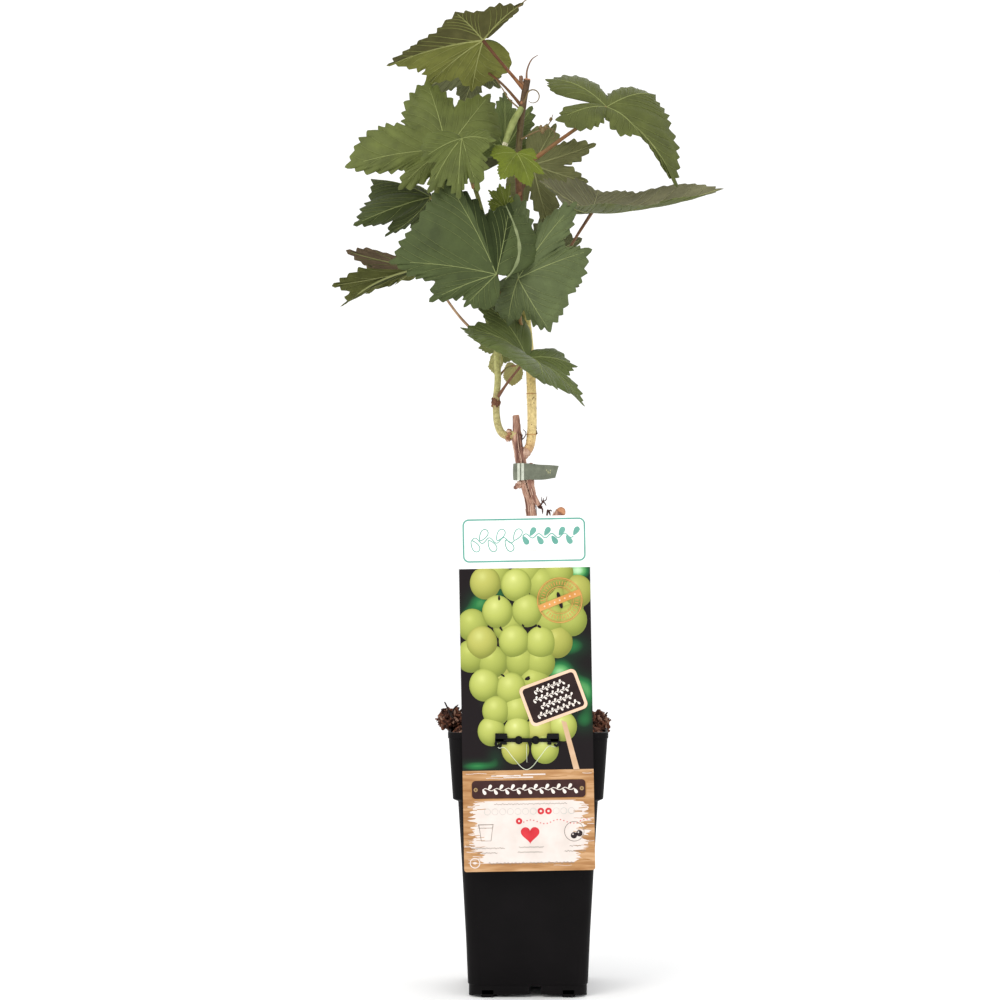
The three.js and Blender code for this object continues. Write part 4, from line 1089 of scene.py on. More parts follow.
pot = Shape()
inner_corner = POT_CORNER - POT_WALL
inside = [(POT_HEIGHT - 0.15, RIM_HALF - 1.8), (POT_HEIGHT - 0.6, RIM_HALF - 2),
          (COLLAR_BOTTOM + 3, COLLAR_FOOT_HALF - 2), (COLLAR_BOTTOM + 1, BODY_TOP_HALF - 2),
          (POT_FLOOR + 2, BODY_FOOT_HALF - 2), (POT_FLOOR + 0.4, BODY_FOOT_HALF - 2.6),
          (POT_FLOOR, BODY_FOOT_HALF - 4)]
outside = [
    (FOOT_HEIGHT + 0.35, SKIRT_HALF), (SKIRT_TOP - 0.7, SKIRT_HALF), (SKIRT_TOP - 0.3, SKIRT_HALF + 0.1),
    (SKIRT_TOP, BODY_FOOT_HALF - 0.3), (SKIRT_TOP + 0.4, BODY_FOOT_HALF), (50, 50.9), (90, 53.1),
    (130, 55.3), (COLLAR_BOTTOM - 2.6, BODY_TOP_HALF), (COLLAR_BOTTOM - 2, BODY_TOP_HALF + 0.4),
    (COLLAR_BOTTOM - 0.3, COLLAR_FOOT_HALF - 0.5), (COLLAR_BOTTOM + 0.3, COLLAR_FOOT_HALF),
    (COLLAR_BOTTOM + 2.4, pot_between(COLLAR_BOTTOM + 2.4)), (190, pot_between(190)),
    (POT_HEIGHT - 5.4, pot_between(POT_HEIGHT - 5.4)), (POT_HEIGHT - 4.9, RIM_HALF + 0.25),
    (POT_HEIGHT - 0.6, RIM_HALF + 0.3), (POT_HEIGHT - 0.15, RIM_HALF), (POT_HEIGHT, RIM_HALF - 0.4),
    (POT_HEIGHT, RIM_HALF - 1.5),
]
recess = SKIRT_HALF - POT_WALL
pot_rings = [at_height(recess - 1, inner_corner - 1, SKIRT_TOP),
             at_height(recess, inner_corner, SKIRT_TOP - 0.6),
             at_height(recess, inner_corner, FOOT_HEIGHT + 0.3),
             at_height(recess + 0.3, inner_corner + 0.3, FOOT_HEIGHT),
             at_height(SKIRT_HALF - 0.3, POT_CORNER - 0.3, FOOT_HEIGHT)]
pot_rings += [at_height(half, POT_CORNER, z) for z, half in outside]
pot_rings += [at_height(half, inner_corner, z) for z, half in inside]
skin(pot, pot_rings)
reach = SKIRT_HALF - POT_WALL / 2
for a in (-FOOT_SPREAD, FOOT_SPREAD):
    for b in (-reach, reach):
        foot_z = 1.5 * FOOT_HEIGHT
        block(pot, (FOOT_LENGTH, POT_WALL, 3 * FOOT_HEIGHT), (a, b, foot_z), 0.35)
        block(pot, (POT_WALL, FOOT_LENGTH, 3 * FOOT_HEIGHT), (b, a, foot_z), 0.35)
POT_LOOK = material("pot", [tint(POT_BLACK, t) for t in (0.85, 1, 1.2)], size=38, rough=(0.4, 0.5),
                    relief=0.05, relief_size=1.4, specular=0.07)
pot_object = make("nursery_pot", pot, [POT_LOOK], ["pot"], crease=35)

# The drain channel opens the skirt at the front and the back.
channel = Shape()
block(channel, (2 * DRAIN_HALF, 4 * RIM_HALF, 2 * DRAIN_TOP), (DRAIN_X, 0, 0), 0.6)
cutter = place_object("channel", channel.mesh("channel"))
cut = pot_object.modifiers.new("channel", "BOOLEAN")
cut.operation, cut.object, cut.solver = "DIFFERENCE", cutter, "EXACT"
cut_mesh = bpy.data.meshes.new_from_object(pot_object.evaluated_get(bpy.context.evaluated_depsgraph_get()))
pot_object.modifiers.clear()
pot_object.data = cut_mesh
bpy.data.objects.remove(cutter)


# ---- Soil ----
SOIL_RIM_LEVEL, SOIL_CROWN = 212, 226
# the number that each of the soil's materials has on a face
CRUMB, CHIP_DARK, CHIP_BROWN, CHIP_PALE, TWIG = range(5)
CLODS = (((-63, -6, 223), (11, 18, 9)), ((59.5, -10, 222), (7, 15, 9)), ((-30, 48, 219), (14, 9, 7)))


def soil_height(x, y):
    edge = max(abs(x), abs(y)) / RIM_HALF
    mound = SOIL_RIM_LEVEL + (SOIL_CROWN - SOIL_RIM_LEVEL) * (1 - edge**3)
    uneven = 1.6 * math.sin(0.21 * x + 1) * math.cos(0.17 * y) + 1.1 * math.sin(0.33 * y - 0.2 * x)
    rough = 2.2 * noise.noise(Vector((x, y, 3)) / 7) + 1.2 * noise.noise(Vector((x, y, 9)) / 2.6)
    return min(SOIL_CROWN + 1, mound + uneven) + rough


def dense(ring):
    """A square ring's points with its four straight sides divided as well."""
    fine = []
    for k, (a, b) in enumerate(zip(ring, np.roll(ring, -1, axis=0))):
        pieces = SIDE_STEPS if k % (CORNER_STEPS + 1) == CORNER_STEPS else 1
        fine += [a + (b - a) * i / pieces for i in range(pieces)]
    return np.array(fine)


soil = Shape()
wall_gap = POT_WALL + 0.4
soil_rings = [dense(at_height(half - wall_gap, inner_corner, z)) for half, z in (
    (BODY_FOOT_HALF, POT_FLOOR + 0.4), (BODY_TOP_HALF, COLLAR_BOTTOM + 1),
    (COLLAR_FOOT_HALF, COLLAR_BOTTOM + 3.6), (RIM_HALF - 0.3, SOIL_RIM_LEVEL - 2))]
for share in np.linspace(0.955, 0.03, 34):
    ring = dense(at_height(share * RIM_HALF, share * inner_corner, 0))
    ring[:, 2] = [soil_height(x, y) for x, y in ring[:, :2]]
    soil_rings.append(ring)
skin(soil, soil_rings)


def turned(yaw, tilt, lean):
    """Rotation matrix: a turn about the vertical after a tilt and a lean."""
    a, b, c = (np.array(((math.cos(t), -math.sin(t)), (math.sin(t), math.cos(t))))
               for t in (yaw, tilt, lean))
    about_z, about_y, about_x = np.eye(3), np.eye(3), np.eye(3)
    about_z[:2, :2] = a
    about_y[np.ix_((0, 2), (0, 2))] = b
    about_x[1:, 1:] = c
    return about_z @ about_y @ about_x


CHIP_MIX = (CHIP_DARK, CHIP_DARK, CHIP_BROWN, CHIP_BROWN, CHIP_BROWN, CHIP_PALE)


def bark_chip(shape, place, size, steep=0.35):
    """A splinter of bark compost, lying more or less flat."""
    size = (size * rng.uniform(1.0, 2.1), size * rng.uniform(0.5, 1.0), size * rng.uniform(0.25, 0.5))
    spin = turned(rng.uniform(0, 2 * math.pi), rng.normal(0, steep), rng.normal(0, steep))
    block(shape, size, place, 0, int(rng.choice(CHIP_MIX)), spin, jitter=0.12 * min(size))


for _ in range(1150):
    x, y = rng.uniform(-61, 61, 2)
    if math.hypot(x - 4, y) < 7:
        continue
    bark_chip(soil, (x, y, soil_height(x, y) + rng.uniform(-0.3, 0.9)), rng.uniform(1.6, 4.6))
for centre, radii in CLODS:
    lump(soil, centre, np.array(radii) * 0.86, CRUMB, detail=4, rough=0.5, grain=2.6)
    for _ in range(150):
        way = unit(rng.normal(0, 1, 3))
        way[2] = abs(way[2]) * 1.2 - 0.5
        place = np.array(centre) + unit(way) * radii * rng.uniform(0.82, 1.0)
        bark_chip(soil, place, rng.uniform(1.6, 3.8), steep=1.0)
# loose crumbs pushed over the rim beside the label, and two dark twigs
for x, y, z in ((-70.5, -12, 221), (-71.8, -10.5, 218.6), (-70.2, -14, 216.8), (-72.6, -9, 222),
                (64.5, -14, 219), (66.0, -8, 222.5), (67.2, -11, 217.5), (66.2, -13, 214.6)):
    lump(soil, (x, y, z), (1.9, 1.7, 1.7), int(rng.choice((CHIP_DARK, CHIP_BROWN))), detail=2, rough=0.7)
for twig in (((-62, -24, 226), (-65.5, -26, 233), (-68.6, -27, 239.4)),
             ((-62.6, -22, 229), (-60.6, -24, 234), (-57.4, -26, 237))):
    tube(soil, twig, taper([0.9, 0.7, 0.45]), sides=8, steps=16, relief=bark(3, 0.2), tone=TWIG)
# a smear of soil stuck to the outside of the collar
for _ in range(16):
    lump(soil, (pot_between(198) + 0.1, -24 + rng.normal(0, 2.2), 197.5 + rng.normal(0, 2.6)),
         (0.5, rng.uniform(0.6, 1.5), rng.uniform(0.6, 1.5)), CHIP_BROWN, detail=2, rough=0.6)
SOIL_LOOKS = [material("soil", ((40, 25, 20), (62, 38, 30), (84, 54, 42)), size=4, rough=(0.9, 1.0),
                       relief=0.8, relief_size=1.6, specular=0.08)]
for chip_name, chip_tones in (("dark", ((44, 27, 22), (66, 41, 32))),
                              ("brown", ((88, 54, 41), (116, 76, 58))),
                              ("pale", ((124, 94, 78), (152, 122, 104)))):
    SOIL_LOOKS.append(material("chip_" + chip_name, chip_tones, size=5, rough=(0.85, 0.95), relief=0.3,
                               relief_size=1, specular=0.12))
SOIL_LOOKS.append(dry_wood("twig", ((30, 26, 26), (52, 42, 38)), (0.8, 0.9), relief=0.2, relief_size=0.8))
make("potting_soil", soil, SOIL_LOOKS, ["soil"], crease=42)


# ---- Label card ----
CARD = {"width": 106, "height": 287, "thick": 0.8, "middle": -1.3, "bottom": 106, "front": -69.8, "lean": -1}
LEAN = math.radians(CARD["lean"])
CARD_INKS = (
    "card", "teal", "night", "picture", "grape", "seal", "frame", "board", "chalk", "stake", "wood", "worn",
    "plate", "nail", "ring", "red", "faint", "berry", "crease", "streak", "blush", "grape_gold",
)
INK = {name: i for i, name in enumerate(CARD_INKS)}


def on_card(u, v, lift):
    """Points of the card: u to the right and v up from its middle, lift in front of its face."""
    u, v = np.asarray(u, float), np.asarray(v, float)
    x = CARD["middle"] + u * math.cos(LEAN) + v * math.sin(LEAN)
    z = CARD["bottom"] + CARD["height"] / 2 - u * math.sin(LEAN) + v * math.cos(LEAN)
    return np.stack([x, np.broadcast_to(CARD["front"] - lift, x.shape), z], -1)


def spun(outline, centre, degrees):
    """The outline turned counter-clockwise about its origin, then moved to the centre."""
    turn = math.radians(degrees)
    matrix = np.array(((math.cos(turn), math.sin(turn)), (-math.sin(turn), math.cos(turn))))
    return np.asarray(outline, float) @ matrix + centre


def round_outline(u, v, radius, count=24, squash=1.0):
    turns = full_turn(count)
    return np.column_stack([u + radius * np.cos(turns), v + radius * squash * np.sin(turns)])


class Print(Shape):
    """The card and the layers printed on it. shade runs from 0 to 1 over the pieces that fade."""

    def __init__(self):
        super().__init__()
        self.shade = []

    def add(self, points, faces, tone=0, shade=None):
        super().add(points, faces, tone)
        count = len(np.asarray(points).reshape(-1, 3))
        self.shade += list(shade) if shade is not None else [0.0] * count

    def plate(self, outline, lift, ink, thick=0.04):
        outline = np.asarray(outline, float)
        following = np.roll(outline, -1, axis=0)
        if np.sum(outline[:, 0] * following[:, 1] - outline[:, 1] * following[:, 0]) < 0:
            outline = outline[::-1]
        n = len(outline)
        points = np.concatenate([on_card(*outline.T, lift), on_card(*outline.T, lift - thick)])
        faces = [tuple(range(n)), tuple(range(2 * n - 1, n - 1, -1))]
        faces += [((i + 1) % n, i, n + i, n + (i + 1) % n) for i in range(n)]
        self.add(points, faces, INK[ink])

    def line(self, path, width, lift, ink, closed=False):
        path = np.asarray(path, float)
        if closed:
            path = np.vstack([path, path[:1]])
        points = on_card(*path.T, lift)
        front = np.tile(FORWARD, (len(points), 1))
        ribbon(self, points, front, width, 0.02, INK[ink], sink=0.02)

    def grape(self, u, v, radius, lift, bright, ink):
        """A low dome shaded like a ball lit from the upper left, cut off at the picture's edge."""
        spokes, circles = 28, 8
        rho = np.repeat(np.arange(1, circles + 1) / circles, spokes)
        turns = np.tile(full_turn(spokes), circles)
        x = np.concatenate([[0], rho * np.cos(turns), np.cos(turns[:spokes])])
        y = np.concatenate([[0], rho * np.sin(turns), np.sin(turns[:spokes])])
        depth = np.sqrt(np.clip(1 - x * x - y * y, 0, 1))
        light = np.clip(-0.22 * x + 0.42 * y + 0.88 * depth, 0, 1)
        glint = np.exp(-((x + 0.18) ** 2 + (y - 0.4) ** 2) / 0.05)
        shade = bright * (0.2 + 0.58 * light**1.2 + 0.2 * glint)
        height = 0.16 * depth
        height[-spokes:] = -0.03
        uu = np.clip(u + radius * x, PANEL[0], PANEL[1])
        vv = np.clip(v + radius * 1.08 * y, PANEL[2], PANEL[3])
        points = on_card(uu, vv, 0)
        points[:, 1] -= lift + height
        faces = [(0, 1 + i, 1 + (i + 1) % spokes) for i in range(spokes)]
        for c in range(circles):
            a, b = 1 + c * spokes, 1 + (c + 1) * spokes
            faces += [(a + i, b + i, b + (i + 1) % spokes, a + (i + 1) % spokes) for i in range(spokes)]
        last = 1 + circles * spokes
        faces.append(tuple(last + i for i in reversed(range(spokes))))
        self.add(points, faces, INK[ink], np.clip(shade, 0, 1))

    def squiggle(self, left, right, level, tall, width, lift, ink, wave):
        """A wavy stroke used as a plain ornament."""
        u = np.linspace(left, right, max(8, int((right - left) / wave * 10)))
        beat = np.sin(u * 2 * math.pi / wave) + 0.5 * np.sin(u * 2 * math.pi / (2.3 * wave))
        self.line(np.column_stack([u, level + tall / 3 * beat]), width, lift, ink)

    def sprig(self, left, right, level, size, width, lift, ink, gap, filled=True, turn=0.0, about=(0, 0)):
        """A vine twig with leaves on both sides."""
        u = np.linspace(left, right, 40)
        stem = level + 0.22 * size * np.sin((u - left) * math.pi / gap)
        self.line(spun(np.column_stack([u, stem]), about, turn), width, lift, ink)
        count = int((right - left) / gap)
        for k in range(count + 1):
            base = left + (right - left) * k / max(1, count)
            side = 1 if k % 2 else -1
            turns = full_turn(18)
            leaf = np.column_stack([0.5 * size + 0.5 * size * np.cos(turns),
                                    0.27 * size * np.sin(turns) * (1 + 0.4 * np.cos(turns))])
            leaf = spun(spun(leaf, (base, level), 58 * side), about, turn)
            if filled:
                self.plate(leaf, lift + 0.01, ink)
            else:
                self.line(leaf, width, lift + 0.01, ink, closed=True)


PANEL = (-53.0, 53.0, -61.8, 101.5)
HEADER = (101.5, 143.5)
# how far in front of the card's face each print stands
FIRST_PRINT, STREAK_PRINT, ICON_LINE, ICON_FILL, ICON_DOT = 0.03, 0.1, 0.13, 0.14, 0.18
BETWEEN_GRAPES, OVER_GRAPES, CUT_LINE = 0.5, 0.62, 0.72
card = Print()
half_width, half_height = CARD["width"] / 2, CARD["height"] / 2
SLOT_LOW, SLOT_HIGH, SLOT_HALF = -42.0, -33.0, 3.2
SLOTS_AT = (-18.35, 17.65)
thick = CARD["thick"]
upper = rounded_box(-half_width, half_width, SLOT_HIGH - 8, half_height, 2)
lower = rounded_box(-half_width, half_width, -half_height, SLOT_LOW + 8, 2)
card.plate(upper[upper[:, 1] > SLOT_HIGH].tolist() + [(-half_width, SLOT_HIGH), (half_width, SLOT_HIGH)], 0,
           "card", thick)
card.plate([(half_width, SLOT_LOW), (-half_width, SLOT_LOW)] + lower[lower[:, 1] < SLOT_LOW].tolist(), 0,
           "card", thick)
edges = [-half_width, SLOTS_AT[0] - SLOT_HALF, SLOTS_AT[0] + SLOT_HALF, SLOTS_AT[1] - SLOT_HALF,
         SLOTS_AT[1] + SLOT_HALF, half_width]
for left, right in zip(edges[::2], edges[1::2]):
    card.plate([(left, SLOT_LOW), (right, SLOT_LOW), (right, SLOT_HIGH), (left, SLOT_HIGH)], 0, "card",
               thick)

# header: a teal frame round two twigs, with a faint line below them
card.line(rounded_box(-49, 49, HEADER[0] + 5.7, HEADER[1] - 2.5, 4.5, 7), 1.4, FIRST_PRINT, "teal",
          closed=True)
card.sprig(-42.5, -8, 124.2, 10.2, 0.8, FIRST_PRINT, "teal", gap=5.8, filled=False)
card.sprig(-1, 40, 127.4, 8.0, 0.9, FIRST_PRINT, "teal", gap=5.2)
card.line([(0, 115.4), (12, 115.7), (26, 115.3), (40, 115.6)], 0.5, FIRST_PRINT, "blush")

# picture panel with its soft green patches
columns, rows = 54, 82
grid_u = np.linspace(PANEL[0], PANEL[1], columns)
grid_v = np.linspace(PANEL[2], PANEL[3], rows)
uu, vv = (a.ravel() for a in np.meshgrid(grid_u, grid_v))
PATCHES = (
    (43, 99, 9, 7, 1.0), (30, 100, 5, 5, 0.9), (-36, 74, 10, 9, 0.55), (-46, 64, 8, 7, 0.4),
    (36, 38, 13, 8, 0.5), (27, 17, 11, 9, 0.85), (50, -2, 6, 12, 0.5), (40, 6, 10, 8, 0.6),
    (-41, -58, 14, 4, 0.55), (-26, -52, 6, 8, 0.25), (46, -22, 9, 9, 0.4), (8, -20, 10, 14, 0.3),
    (-20, 82, 9, 9, 0.35), (-31, -3, 5, 6, 0.3),
)
shade = np.zeros(len(uu))
for u, v, wide, tall, strength in PATCHES:
    shade += strength * np.exp(-(((uu - u) / wide) ** 2) - ((vv - v) / tall) ** 2)
card.plate([(PANEL[0], PANEL[2]), (PANEL[1], PANEL[2]), (PANEL[1], PANEL[3]), (PANEL[0], PANEL[3])],
           FIRST_PRINT, "night")
card.add(on_card(uu, vv, 0.035), quads(rows, columns, wrap=False), INK["picture"], np.clip(shade, 0, 1))

GRAPES_BEHIND = (
    (35, 71), (22, 77), (-14, 55), (-20, 9), (-24, 97.5), (2, 99), (27, 97.5), (14, 88.5), (42.5, 82),
    (-43, 56), (21, 59), (37.5, 59), (-44.5, 31), (25.5, 41.5), (-27, 26), (-4.5, 26), (11, 25), (6.5, 9),
)
GRAPES_IN_FRONT = (
    (-32, 90), (-7, 88), (1.5, 67), (-22.5, 66.5), (12, 41), (-35.5, 42), (-9.5, 42.5), (-34, 7.5),
    (-12.5, 4), (-8, -13.5), (10, -30), (29, -27), (-25, -13.5), (-29, -30), (-8, -30.5), (-10, -45),
    (14, -45),
)
for k, (u, v) in enumerate(GRAPES_BEHIND + GRAPES_IN_FRONT):
    front = k >= len(GRAPES_BEHIND)
    card.grape(u, v, 12.4 if v > 0 else 11.2, 0.04 + 0.012 * k, rng.uniform(0.71, 0.85) if front else 0.61,
               "grape_gold" if k % 5 == 3 else "grape")
for u, v, size in ((1, 12, 2.6), (-20, 53, 1.8), (11, 54, 2.0), (-21, 78, 2.0), (-2, 55, 1.4),
                   (-19, 15, 1.6)):
    card.plate(spun(round_outline(0, 0, size, 9, 0.55) * rng.uniform(0.7, 1.3, (9, 1)), (u, v), 30 * u),
               BETWEEN_GRAPES, "night")

# round seal of plain rings, rays and a bar
SEAL = (28, 75)
SEAL_TURN, RAY_GAP_TURN = 21, 0.37  # of the bar in degrees, of the gap in the rays in radians
for radius, width in ((18, 0.75), (16.9, 0.3), (11, 0.5), (9.8, 0.25)):
    card.line(round_outline(*SEAL, radius, 48), width, OVER_GRAPES, "seal", closed=True)
for turn in full_turn(40):
    way = np.array((math.cos(turn), math.sin(turn)))
    if abs(way @ (-math.sin(RAY_GAP_TURN), math.cos(RAY_GAP_TURN))) > 0.3:
        card.line([SEAL + 12.6 * way, SEAL + 15.4 * way], 0.65, OVER_GRAPES, "seal")
for turn in (0, 90, 180, 270):
    petal = spun(round_outline(3.6, 0, 3.2, 14, 0.45), SEAL, turn + 14)
    card.plate(petal, OVER_GRAPES, "night")
card.plate(spun(rounded_box(-17.6, 17.6, -2.6, 2.6, 0.6), SEAL, SEAL_TURN), OVER_GRAPES + 0.03, "seal")
for k in range(-3, 4):
    card.plate(spun(round_outline(4.4 * k, 0, 0.8, 4), SEAL, SEAL_TURN), OVER_GRAPES + 0.06, "frame")

# little board on a stake, with four chalk twigs
BOARD, BOARD_TURN = (21.5, -3.6), 19.3
card.plate([(27.5, -22), (31.7, -23.5), (41.6, -61.8), (36.8, -61.8)], OVER_GRAPES, "stake")
card.plate(spun(rounded_box(-24.4, 24.4, -17, 17, 4.4), BOARD, BOARD_TURN), OVER_GRAPES + 0.03, "frame")
card.plate(spun(rounded_box(-22, 22, -14.6, 14.6, 2.8), BOARD, BOARD_TURN), OVER_GRAPES + 0.06, "board")
for level, left, right in ((9.6, -13, 11), (3.2, -16, 14), (-3.4, -12, 14), (-9.8, -17, 17)):
    card.sprig(left, right, level, 2.9, 0.5, OVER_GRAPES + 0.1, "chalk", gap=2.3, turn=BOARD_TURN,
               about=BOARD)

# wooden lower panel: grain streaks, a worn patch, and a dark plate with a twig
LOWEST = -half_height
wooden = rounded_box(-half_width, half_width, LOWEST, PANEL[2] + 4, 2)
card.plate([(half_width, PANEL[2]), (-half_width, PANEL[2])] + wooden[wooden[:, 1] < PANEL[2]].tolist(),
           FIRST_PRINT, "wood")
worn = []
for side in (1, -1):
    for v in np.arange(-86.5, -137, -0.8)[::side]:
        reach = 49 - 3 * abs(math.sin(0.31 * v)) - (8 if v < -127 or v > -88 else 0)
        worn.append((side * (reach + rng.uniform(-5, 2.5)), v))
card.plate(worn, 0.07, "worn")
for _ in range(110):
    v = rng.uniform(-142, -63)
    centre, length = rng.uniform(-51, 51), rng.uniform(4, 18)
    if -134 < v < -86:
        centre = math.copysign(rng.uniform(38, 51), centre)
        length = min(length, 7)
    u = np.clip(np.linspace(centre - length / 2, centre + length / 2, 8), -52.5, 52.5)
    if u[-1] - u[0] > 2:
        card.line(np.column_stack([u, v + 0.3 * np.sin(0.4 * u + v)]), rng.uniform(0.25, 0.6), STREAK_PRINT,
                  "streak" if rng.random() < 0.7 else "worn")
for left, right, v in ((-30, -6, -66.2), (-4, 14, -65.4), (-20, 4, -67.6)):
    card.line(np.column_stack([np.linspace(left, right, 8), np.full(8, v)]), 1.1, STREAK_PRINT, "worn")
card.plate(rounded_box(-46.4, 46.9, -85.3, -70.3, 3.2), 0.11, "streak")
card.plate(rounded_box(-45.7, 46.2, -84.5, -69.9, 3), 0.15, "plate")
card.sprig(-37, 37, -77.2, 4.6, 0.6, 0.2, "chalk", gap=4.6)
for u in (-42.6, 43.2):
    card.plate(round_outline(u, -77.2, 1.7, 14), 0.2, "nail")
    card.plate(round_outline(u, -77.2, 0.6, 8), 0.23, "plate")

# row of month rings, dotted line and three pictures
for k, u in enumerate(np.linspace(-33.5, 34.5, 12)):
    if k in (7, 8):
        card.plate(round_outline(u, -95.2, 2.7, 20), ICON_FILL, "red")
        card.plate(round_outline(u, -95.2, 1.0, 10), ICON_DOT, "worn")
    else:
        card.line(round_outline(u, -95.2, 2.5, 20), 0.28, ICON_LINE, "faint", closed=True)
card.squiggle(-28, 31, -89.2, 1.0, 0.32, ICON_LINE, "ring", wave=2.4)
card.plate(round_outline(-8, -103, 2.6, 20), ICON_FILL, "red")
card.plate(round_outline(-8, -103, 0.8, 10), ICON_DOT, "worn")
for k in range(20):
    card.plate(round_outline(-4.2 + 2.7 * k, -103.8 + 1.6 * math.sin(0.75 * k), 0.5, 8), ICON_LINE, "red")
pot_icon = [(-40.5, -105.6), (-29.2, -105.6), (-30.9, -118.6), (-38.8, -118.6)]
card.line(pot_icon, 0.5, ICON_LINE, "ring", closed=True)
card.line([(-41.2, -105.4), (-40.6, -108.2), (-29.2, -108.2), (-28.6, -105.4)], 0.4, ICON_LINE, "ring",
          closed=True)
heart = [(7.6 * math.sin(t) ** 3, 0.47 * (13 * math.cos(t) - 5 * math.cos(2 * t) - 2 * math.cos(3 * t)
                                          - math.cos(4 * t))) for t in full_turn(39)]
card.plate(np.array(heart) + (0.8, -113.6), ICON_FILL, "red")
card.line(round_outline(36.5, -112, 7.9, 36), 0.45, ICON_LINE, "ring", closed=True)
for u, v in ((36.2, -115.2), (40.6, -113.6)):
    card.plate(round_outline(u, v, 2.6, 18), ICON_FILL, "berry")
    card.plate(round_outline(u - 0.8, v + 0.9, 0.6, 8), ICON_DOT, "worn")
for centre, rows_of in ((-34, ((-14, 14, -124.6), (-8, 8, -128.4))),
                        (1.6, ((-10, 10, -124.2), (-11, 9, -128.2))),
                        (37, ((-4.5, 4.5, -123.6), (-8.5, 8.5, -127.8)))):
    for left, right, v in rows_of:
        card.squiggle(centre + left, centre + right, v, 1.2, 0.36, ICON_LINE, "ring", wave=2.2)
card.squiggle(-33, 36, -137.0, 1.7, 0.42, ICON_LINE, "ring", wave=3.0)
card.line(round_outline(-44.2, -136.4, 3.9, 20), 0.8, ICON_LINE, "worn", closed=True)
card.plate(round_outline(-44.2, -136.4, 1.7, 10, 0.6), ICON_LINE, "worn")

# cut line of the card's tongue below the clip
tongue = [(-25, -38), (-23.4, -43.6), (-19, -43.2), (-12, -51.5), (-5, -59.6), (-1.2, -61.4), (3, -59.4),
          (10, -51), (17.5, -42.6), (22.4, -43.4), (24.6, -38)]
line_path, _ = curve([(u, v, 0) for u, v in tongue], 70)
card.line(line_path[:, :2], 0.5, CUT_LINE, "crease")
card.line([(-0.8, -41), (-0.9, -48), (-0.8, -55.5)], 0.35, CUT_LINE, "crease")


FLAT_INKS = {
    "card": ((243, 243, 241), (250, 250, 249)), "teal": ((98, 158, 145), (112, 170, 156)),
    "night": ((26, 20, 22), (34, 26, 29)), "seal": ((198, 138, 72), (214, 156, 92)),
    "frame": ((228, 192, 162), (236, 204, 178)), "board": ((38, 26, 26), (48, 34, 33)),
    "chalk": ((226, 216, 206), (242, 234, 226)), "stake": ((200, 166, 132), (214, 182, 152)),
    "worn": ((218, 207, 200), (228, 217, 211)), "plate": ((54, 33, 32), (68, 44, 42)),
    "nail": ((148, 122, 84), (176, 150, 108)), "ring": ((118, 108, 100), (140, 128, 116)),
    "red": ((196, 48, 56), (214, 64, 72)), "faint": ((164, 180, 172), (196, 188, 184)),
    "berry": ((40, 32, 34), (56, 46, 48)), "crease": ((196, 204, 178), (222, 228, 206)),
    "streak": ((158, 112, 66), (184, 138, 88)), "blush": ((226, 190, 190), (236, 206, 204)),
}
FADING_INKS = {
    "grape": ((94, 106, 46), (140, 150, 68), (176, 184, 94), (202, 208, 124), (236, 238, 194)),
    "grape_gold": ((98, 102, 46), (144, 148, 68), (178, 178, 92), (200, 202, 122), (236, 236, 194)),
    "picture": ((26, 20, 22), (26, 44, 32), (40, 112, 62), (104, 172, 104), (190, 226, 184)),
}


def ink_look(ink):
    name = "ink_" + ink
    if ink in FADING_INKS:
        return shaded(name, FADING_INKS[ink])
    if ink == "wood":
        return material(name, ((158, 112, 70), (182, 138, 94), (202, 162, 122)), size=9,
                        stretch=(0.25, 1, 2.4), rough=(0.35, 0.42), specular=CARD_GLOSS)
    return material(name, FLAT_INKS[ink], size=12, rough=(0.32, 0.4), specular=CARD_GLOSS)


card_looks = [ink_look(ink) for ink in CARD_INKS]
make("picture_label", card, card_looks, ["label_card"], crease=25, values=card.shade)


# ---- Label clip ----
CLIP_HALF, CLIP_LOW, CLIP_TOP, CLIP_BAR, CLIP_POST, CLIP_THICK = 26, 206.5, 217.5, 2.2, 4.5, 1.6
CLIP_SIDES, CLIP_MIDDLE_X, HOOK_DROP = 28, -1, 14
GAP = 0.4
clip = Shape()
clip_front = CARD["front"] - GAP - CLIP_BAR / 2
clip_back = CARD["front"] + CARD["thick"] + GAP + CLIP_THICK / 2
clip_inside = -RIM_HALF + POT_WALL + 1 + CLIP_THICK / 2
clip_middle = (CLIP_LOW + CLIP_TOP) / 2
over_rim = POT_HEIGHT + GAP + CLIP_THICK / 2
block(clip, (2 * CLIP_HALF, CLIP_BAR, 3.2), (CLIP_MIDDLE_X, clip_front, clip_middle), 0.5)
block(clip, (2 * CLIP_HALF - 14, CLIP_BAR + 0.5, 1.2), (CLIP_MIDDLE_X, clip_front, clip_middle), 0.35)
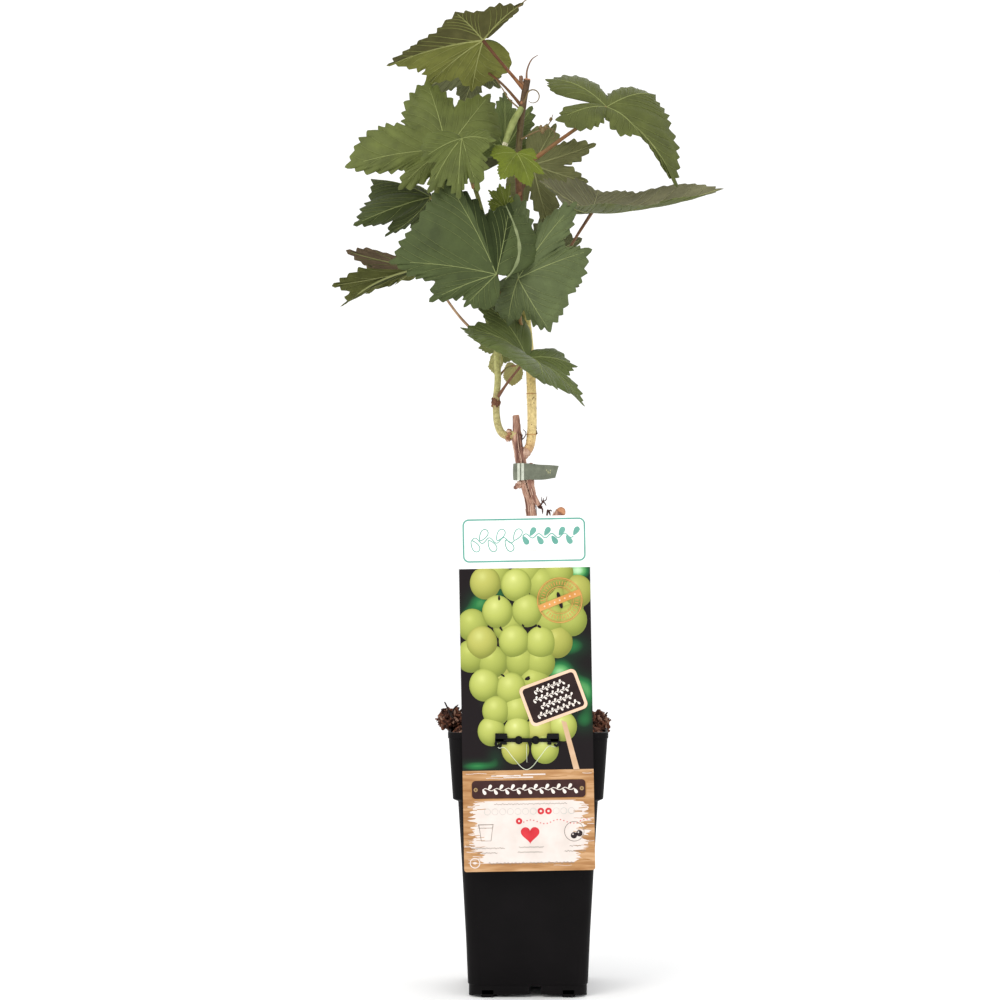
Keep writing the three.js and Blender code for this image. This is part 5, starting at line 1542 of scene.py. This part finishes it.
for side in (-1, 1):
    x = CLIP_MIDDLE_X + side * (CLIP_HALF - 5)
    block(clip, (9.6, CLIP_BAR, 7.4), (x, clip_front, clip_middle + 1.7), 0.6)
    block(clip, (5.2, CLIP_BAR + 0.4, 2.2), (x + side * 2.2, clip_front, CLIP_TOP - 1.2), 0.5)
    hook = [(x + side * 3.4, clip_front, clip_middle), (x + side * 4.4, clip_front, CLIP_LOW + 1.9),
            (x + side * 2.6, clip_front, CLIP_LOW + 0.9), (x + side * 0.9, clip_front, CLIP_LOW + 2.2)]
    tube(clip, hook, taper([1.1, 1.1, 1.0, 0.8]), sides=14, steps=22)
    block(clip, (3.4, CLIP_BAR - 0.2, 4.6), (x - side * 3.0, clip_front, clip_middle - 1.4), 0.5)
    turns = full_turn(CLIP_SIDES)
    for radius, depth in ((3.3, CLIP_BAR), (1.9, CLIP_BAR + 0.7)):
        levels = ((-depth / 2, radius - 0.35), (-depth / 2 + 0.3, radius), (depth / 2 - 0.3, radius),
                  (depth / 2, radius - 0.35))
        boss = [np.column_stack([CLIP_MIDDLE_X + side * 6.8 + r * np.cos(turns),
                                 np.full(CLIP_SIDES, clip_front - y),
                                 clip_middle + r * np.sin(turns)]) for y, r in levels]
        skin(clip, boss)
    hook_x = CLIP_MIDDLE_X + side * (CLIP_HALF - 8)
    rise = over_rim - clip_middle + CLIP_THICK / 2
    block(clip, (CLIP_POST, clip_back - clip_front + CLIP_THICK, CLIP_POST),
          (hook_x, (clip_front + clip_back) / 2, clip_middle + 1), 0.3)
    block(clip, (CLIP_POST, CLIP_THICK, rise), (hook_x, clip_back, clip_middle + rise / 2), 0.3)
    block(clip, (CLIP_POST, clip_inside - clip_back + CLIP_THICK, CLIP_THICK),
          (hook_x, (clip_inside + clip_back) / 2, over_rim), 0.3)
    block(clip, (CLIP_POST, CLIP_THICK, HOOK_DROP),
          (hook_x, clip_inside, over_rim + (CLIP_THICK - HOOK_DROP) / 2), 0.3)
CLIP_LOOK = material("clip", ((11, 11, 12), (16, 16, 18)), size=8, rough=(0.34, 0.46), relief=0.04,
                     specular=0.12)
make("label_hook", clip, [CLIP_LOOK], ["label_clip"], crease=40)


# ---- Camera, light and floor ----
def aim(obj, target):
    obj.rotation_euler = (Vector(target) - obj.location).to_track_quat("-Z", "Y").to_euler()


def softbox(name, place, target, size, power, colour=(255, 255, 255)):
    light = bpy.data.lights.new(name, "AREA")
    light.shape, light.size, light.energy = "DISK", size, power
    light.color = linear(colour)[:3]
    obj = place_object(name, light)
    obj.location = place
    aim(obj, target)


CAMERA_PLACE = (-0.0229, -2.2, 0.406)
SENSOR = 36.0
VIEW_WIDTH = 0.835  # metres seen across at the plant
WORLD_STRENGTH = 1.12
FLOOR_RADIUS, FLOOR_DROP, FLOOR_SIDES = 14, 0.0004, 64  # metres, metres and a count
camera = bpy.data.cameras.new("camera")
camera.sensor_width = SENSOR
camera.lens = SENSOR * -CAMERA_PLACE[1] / VIEW_WIDTH
camera_object = place_object("camera", camera)
camera_object.location = CAMERA_PLACE
camera_object.rotation_euler = (math.pi / 2, 0, 0)
bpy.context.scene.camera = camera_object

softbox("key", (-1.3, -1.7, 1.7), (0, 0, 0.5), 1.3, 20, (255, 252, 246))
softbox("fill", (1.6, -1.5, 0.9), (0, 0, 0.45), 1.4, 4, (246, 250, 255))
softbox("rim", (0.5, 1.8, 1.6), (0, 0, 0.55), 1.2, 6)

world = bpy.data.worlds.new("studio")
world.use_nodes = True
backdrop = world.node_tree.nodes["Background"]
backdrop.inputs["Color"].default_value = (1, 1, 1, 1)
backdrop.inputs["Strength"].default_value = WORLD_STRENGTH
bpy.context.scene.world = world
bpy.context.scene.view_settings.view_transform = "Standard"

floor_mesh = bpy.data.meshes.new("floor")
rim_points = [(FLOOR_RADIUS * math.cos(a), FLOOR_RADIUS * math.sin(a), -FLOOR_DROP)
              for a in full_turn(FLOOR_SIDES)]
floor_mesh.from_pydata(rim_points, [], [tuple(range(FLOOR_SIDES))])
floor_mesh.materials.append(material("floor", ((246, 246, 246), (248, 248, 248)), size=900, rough=(0.8, 0.9),
                                     specular=0.1))
place_object("floor", floor_mesh)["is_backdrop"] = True

low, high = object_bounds()
{"cad": [list(corner) for corner in CAD_BOX], "visual": [list(low), list(high)]}
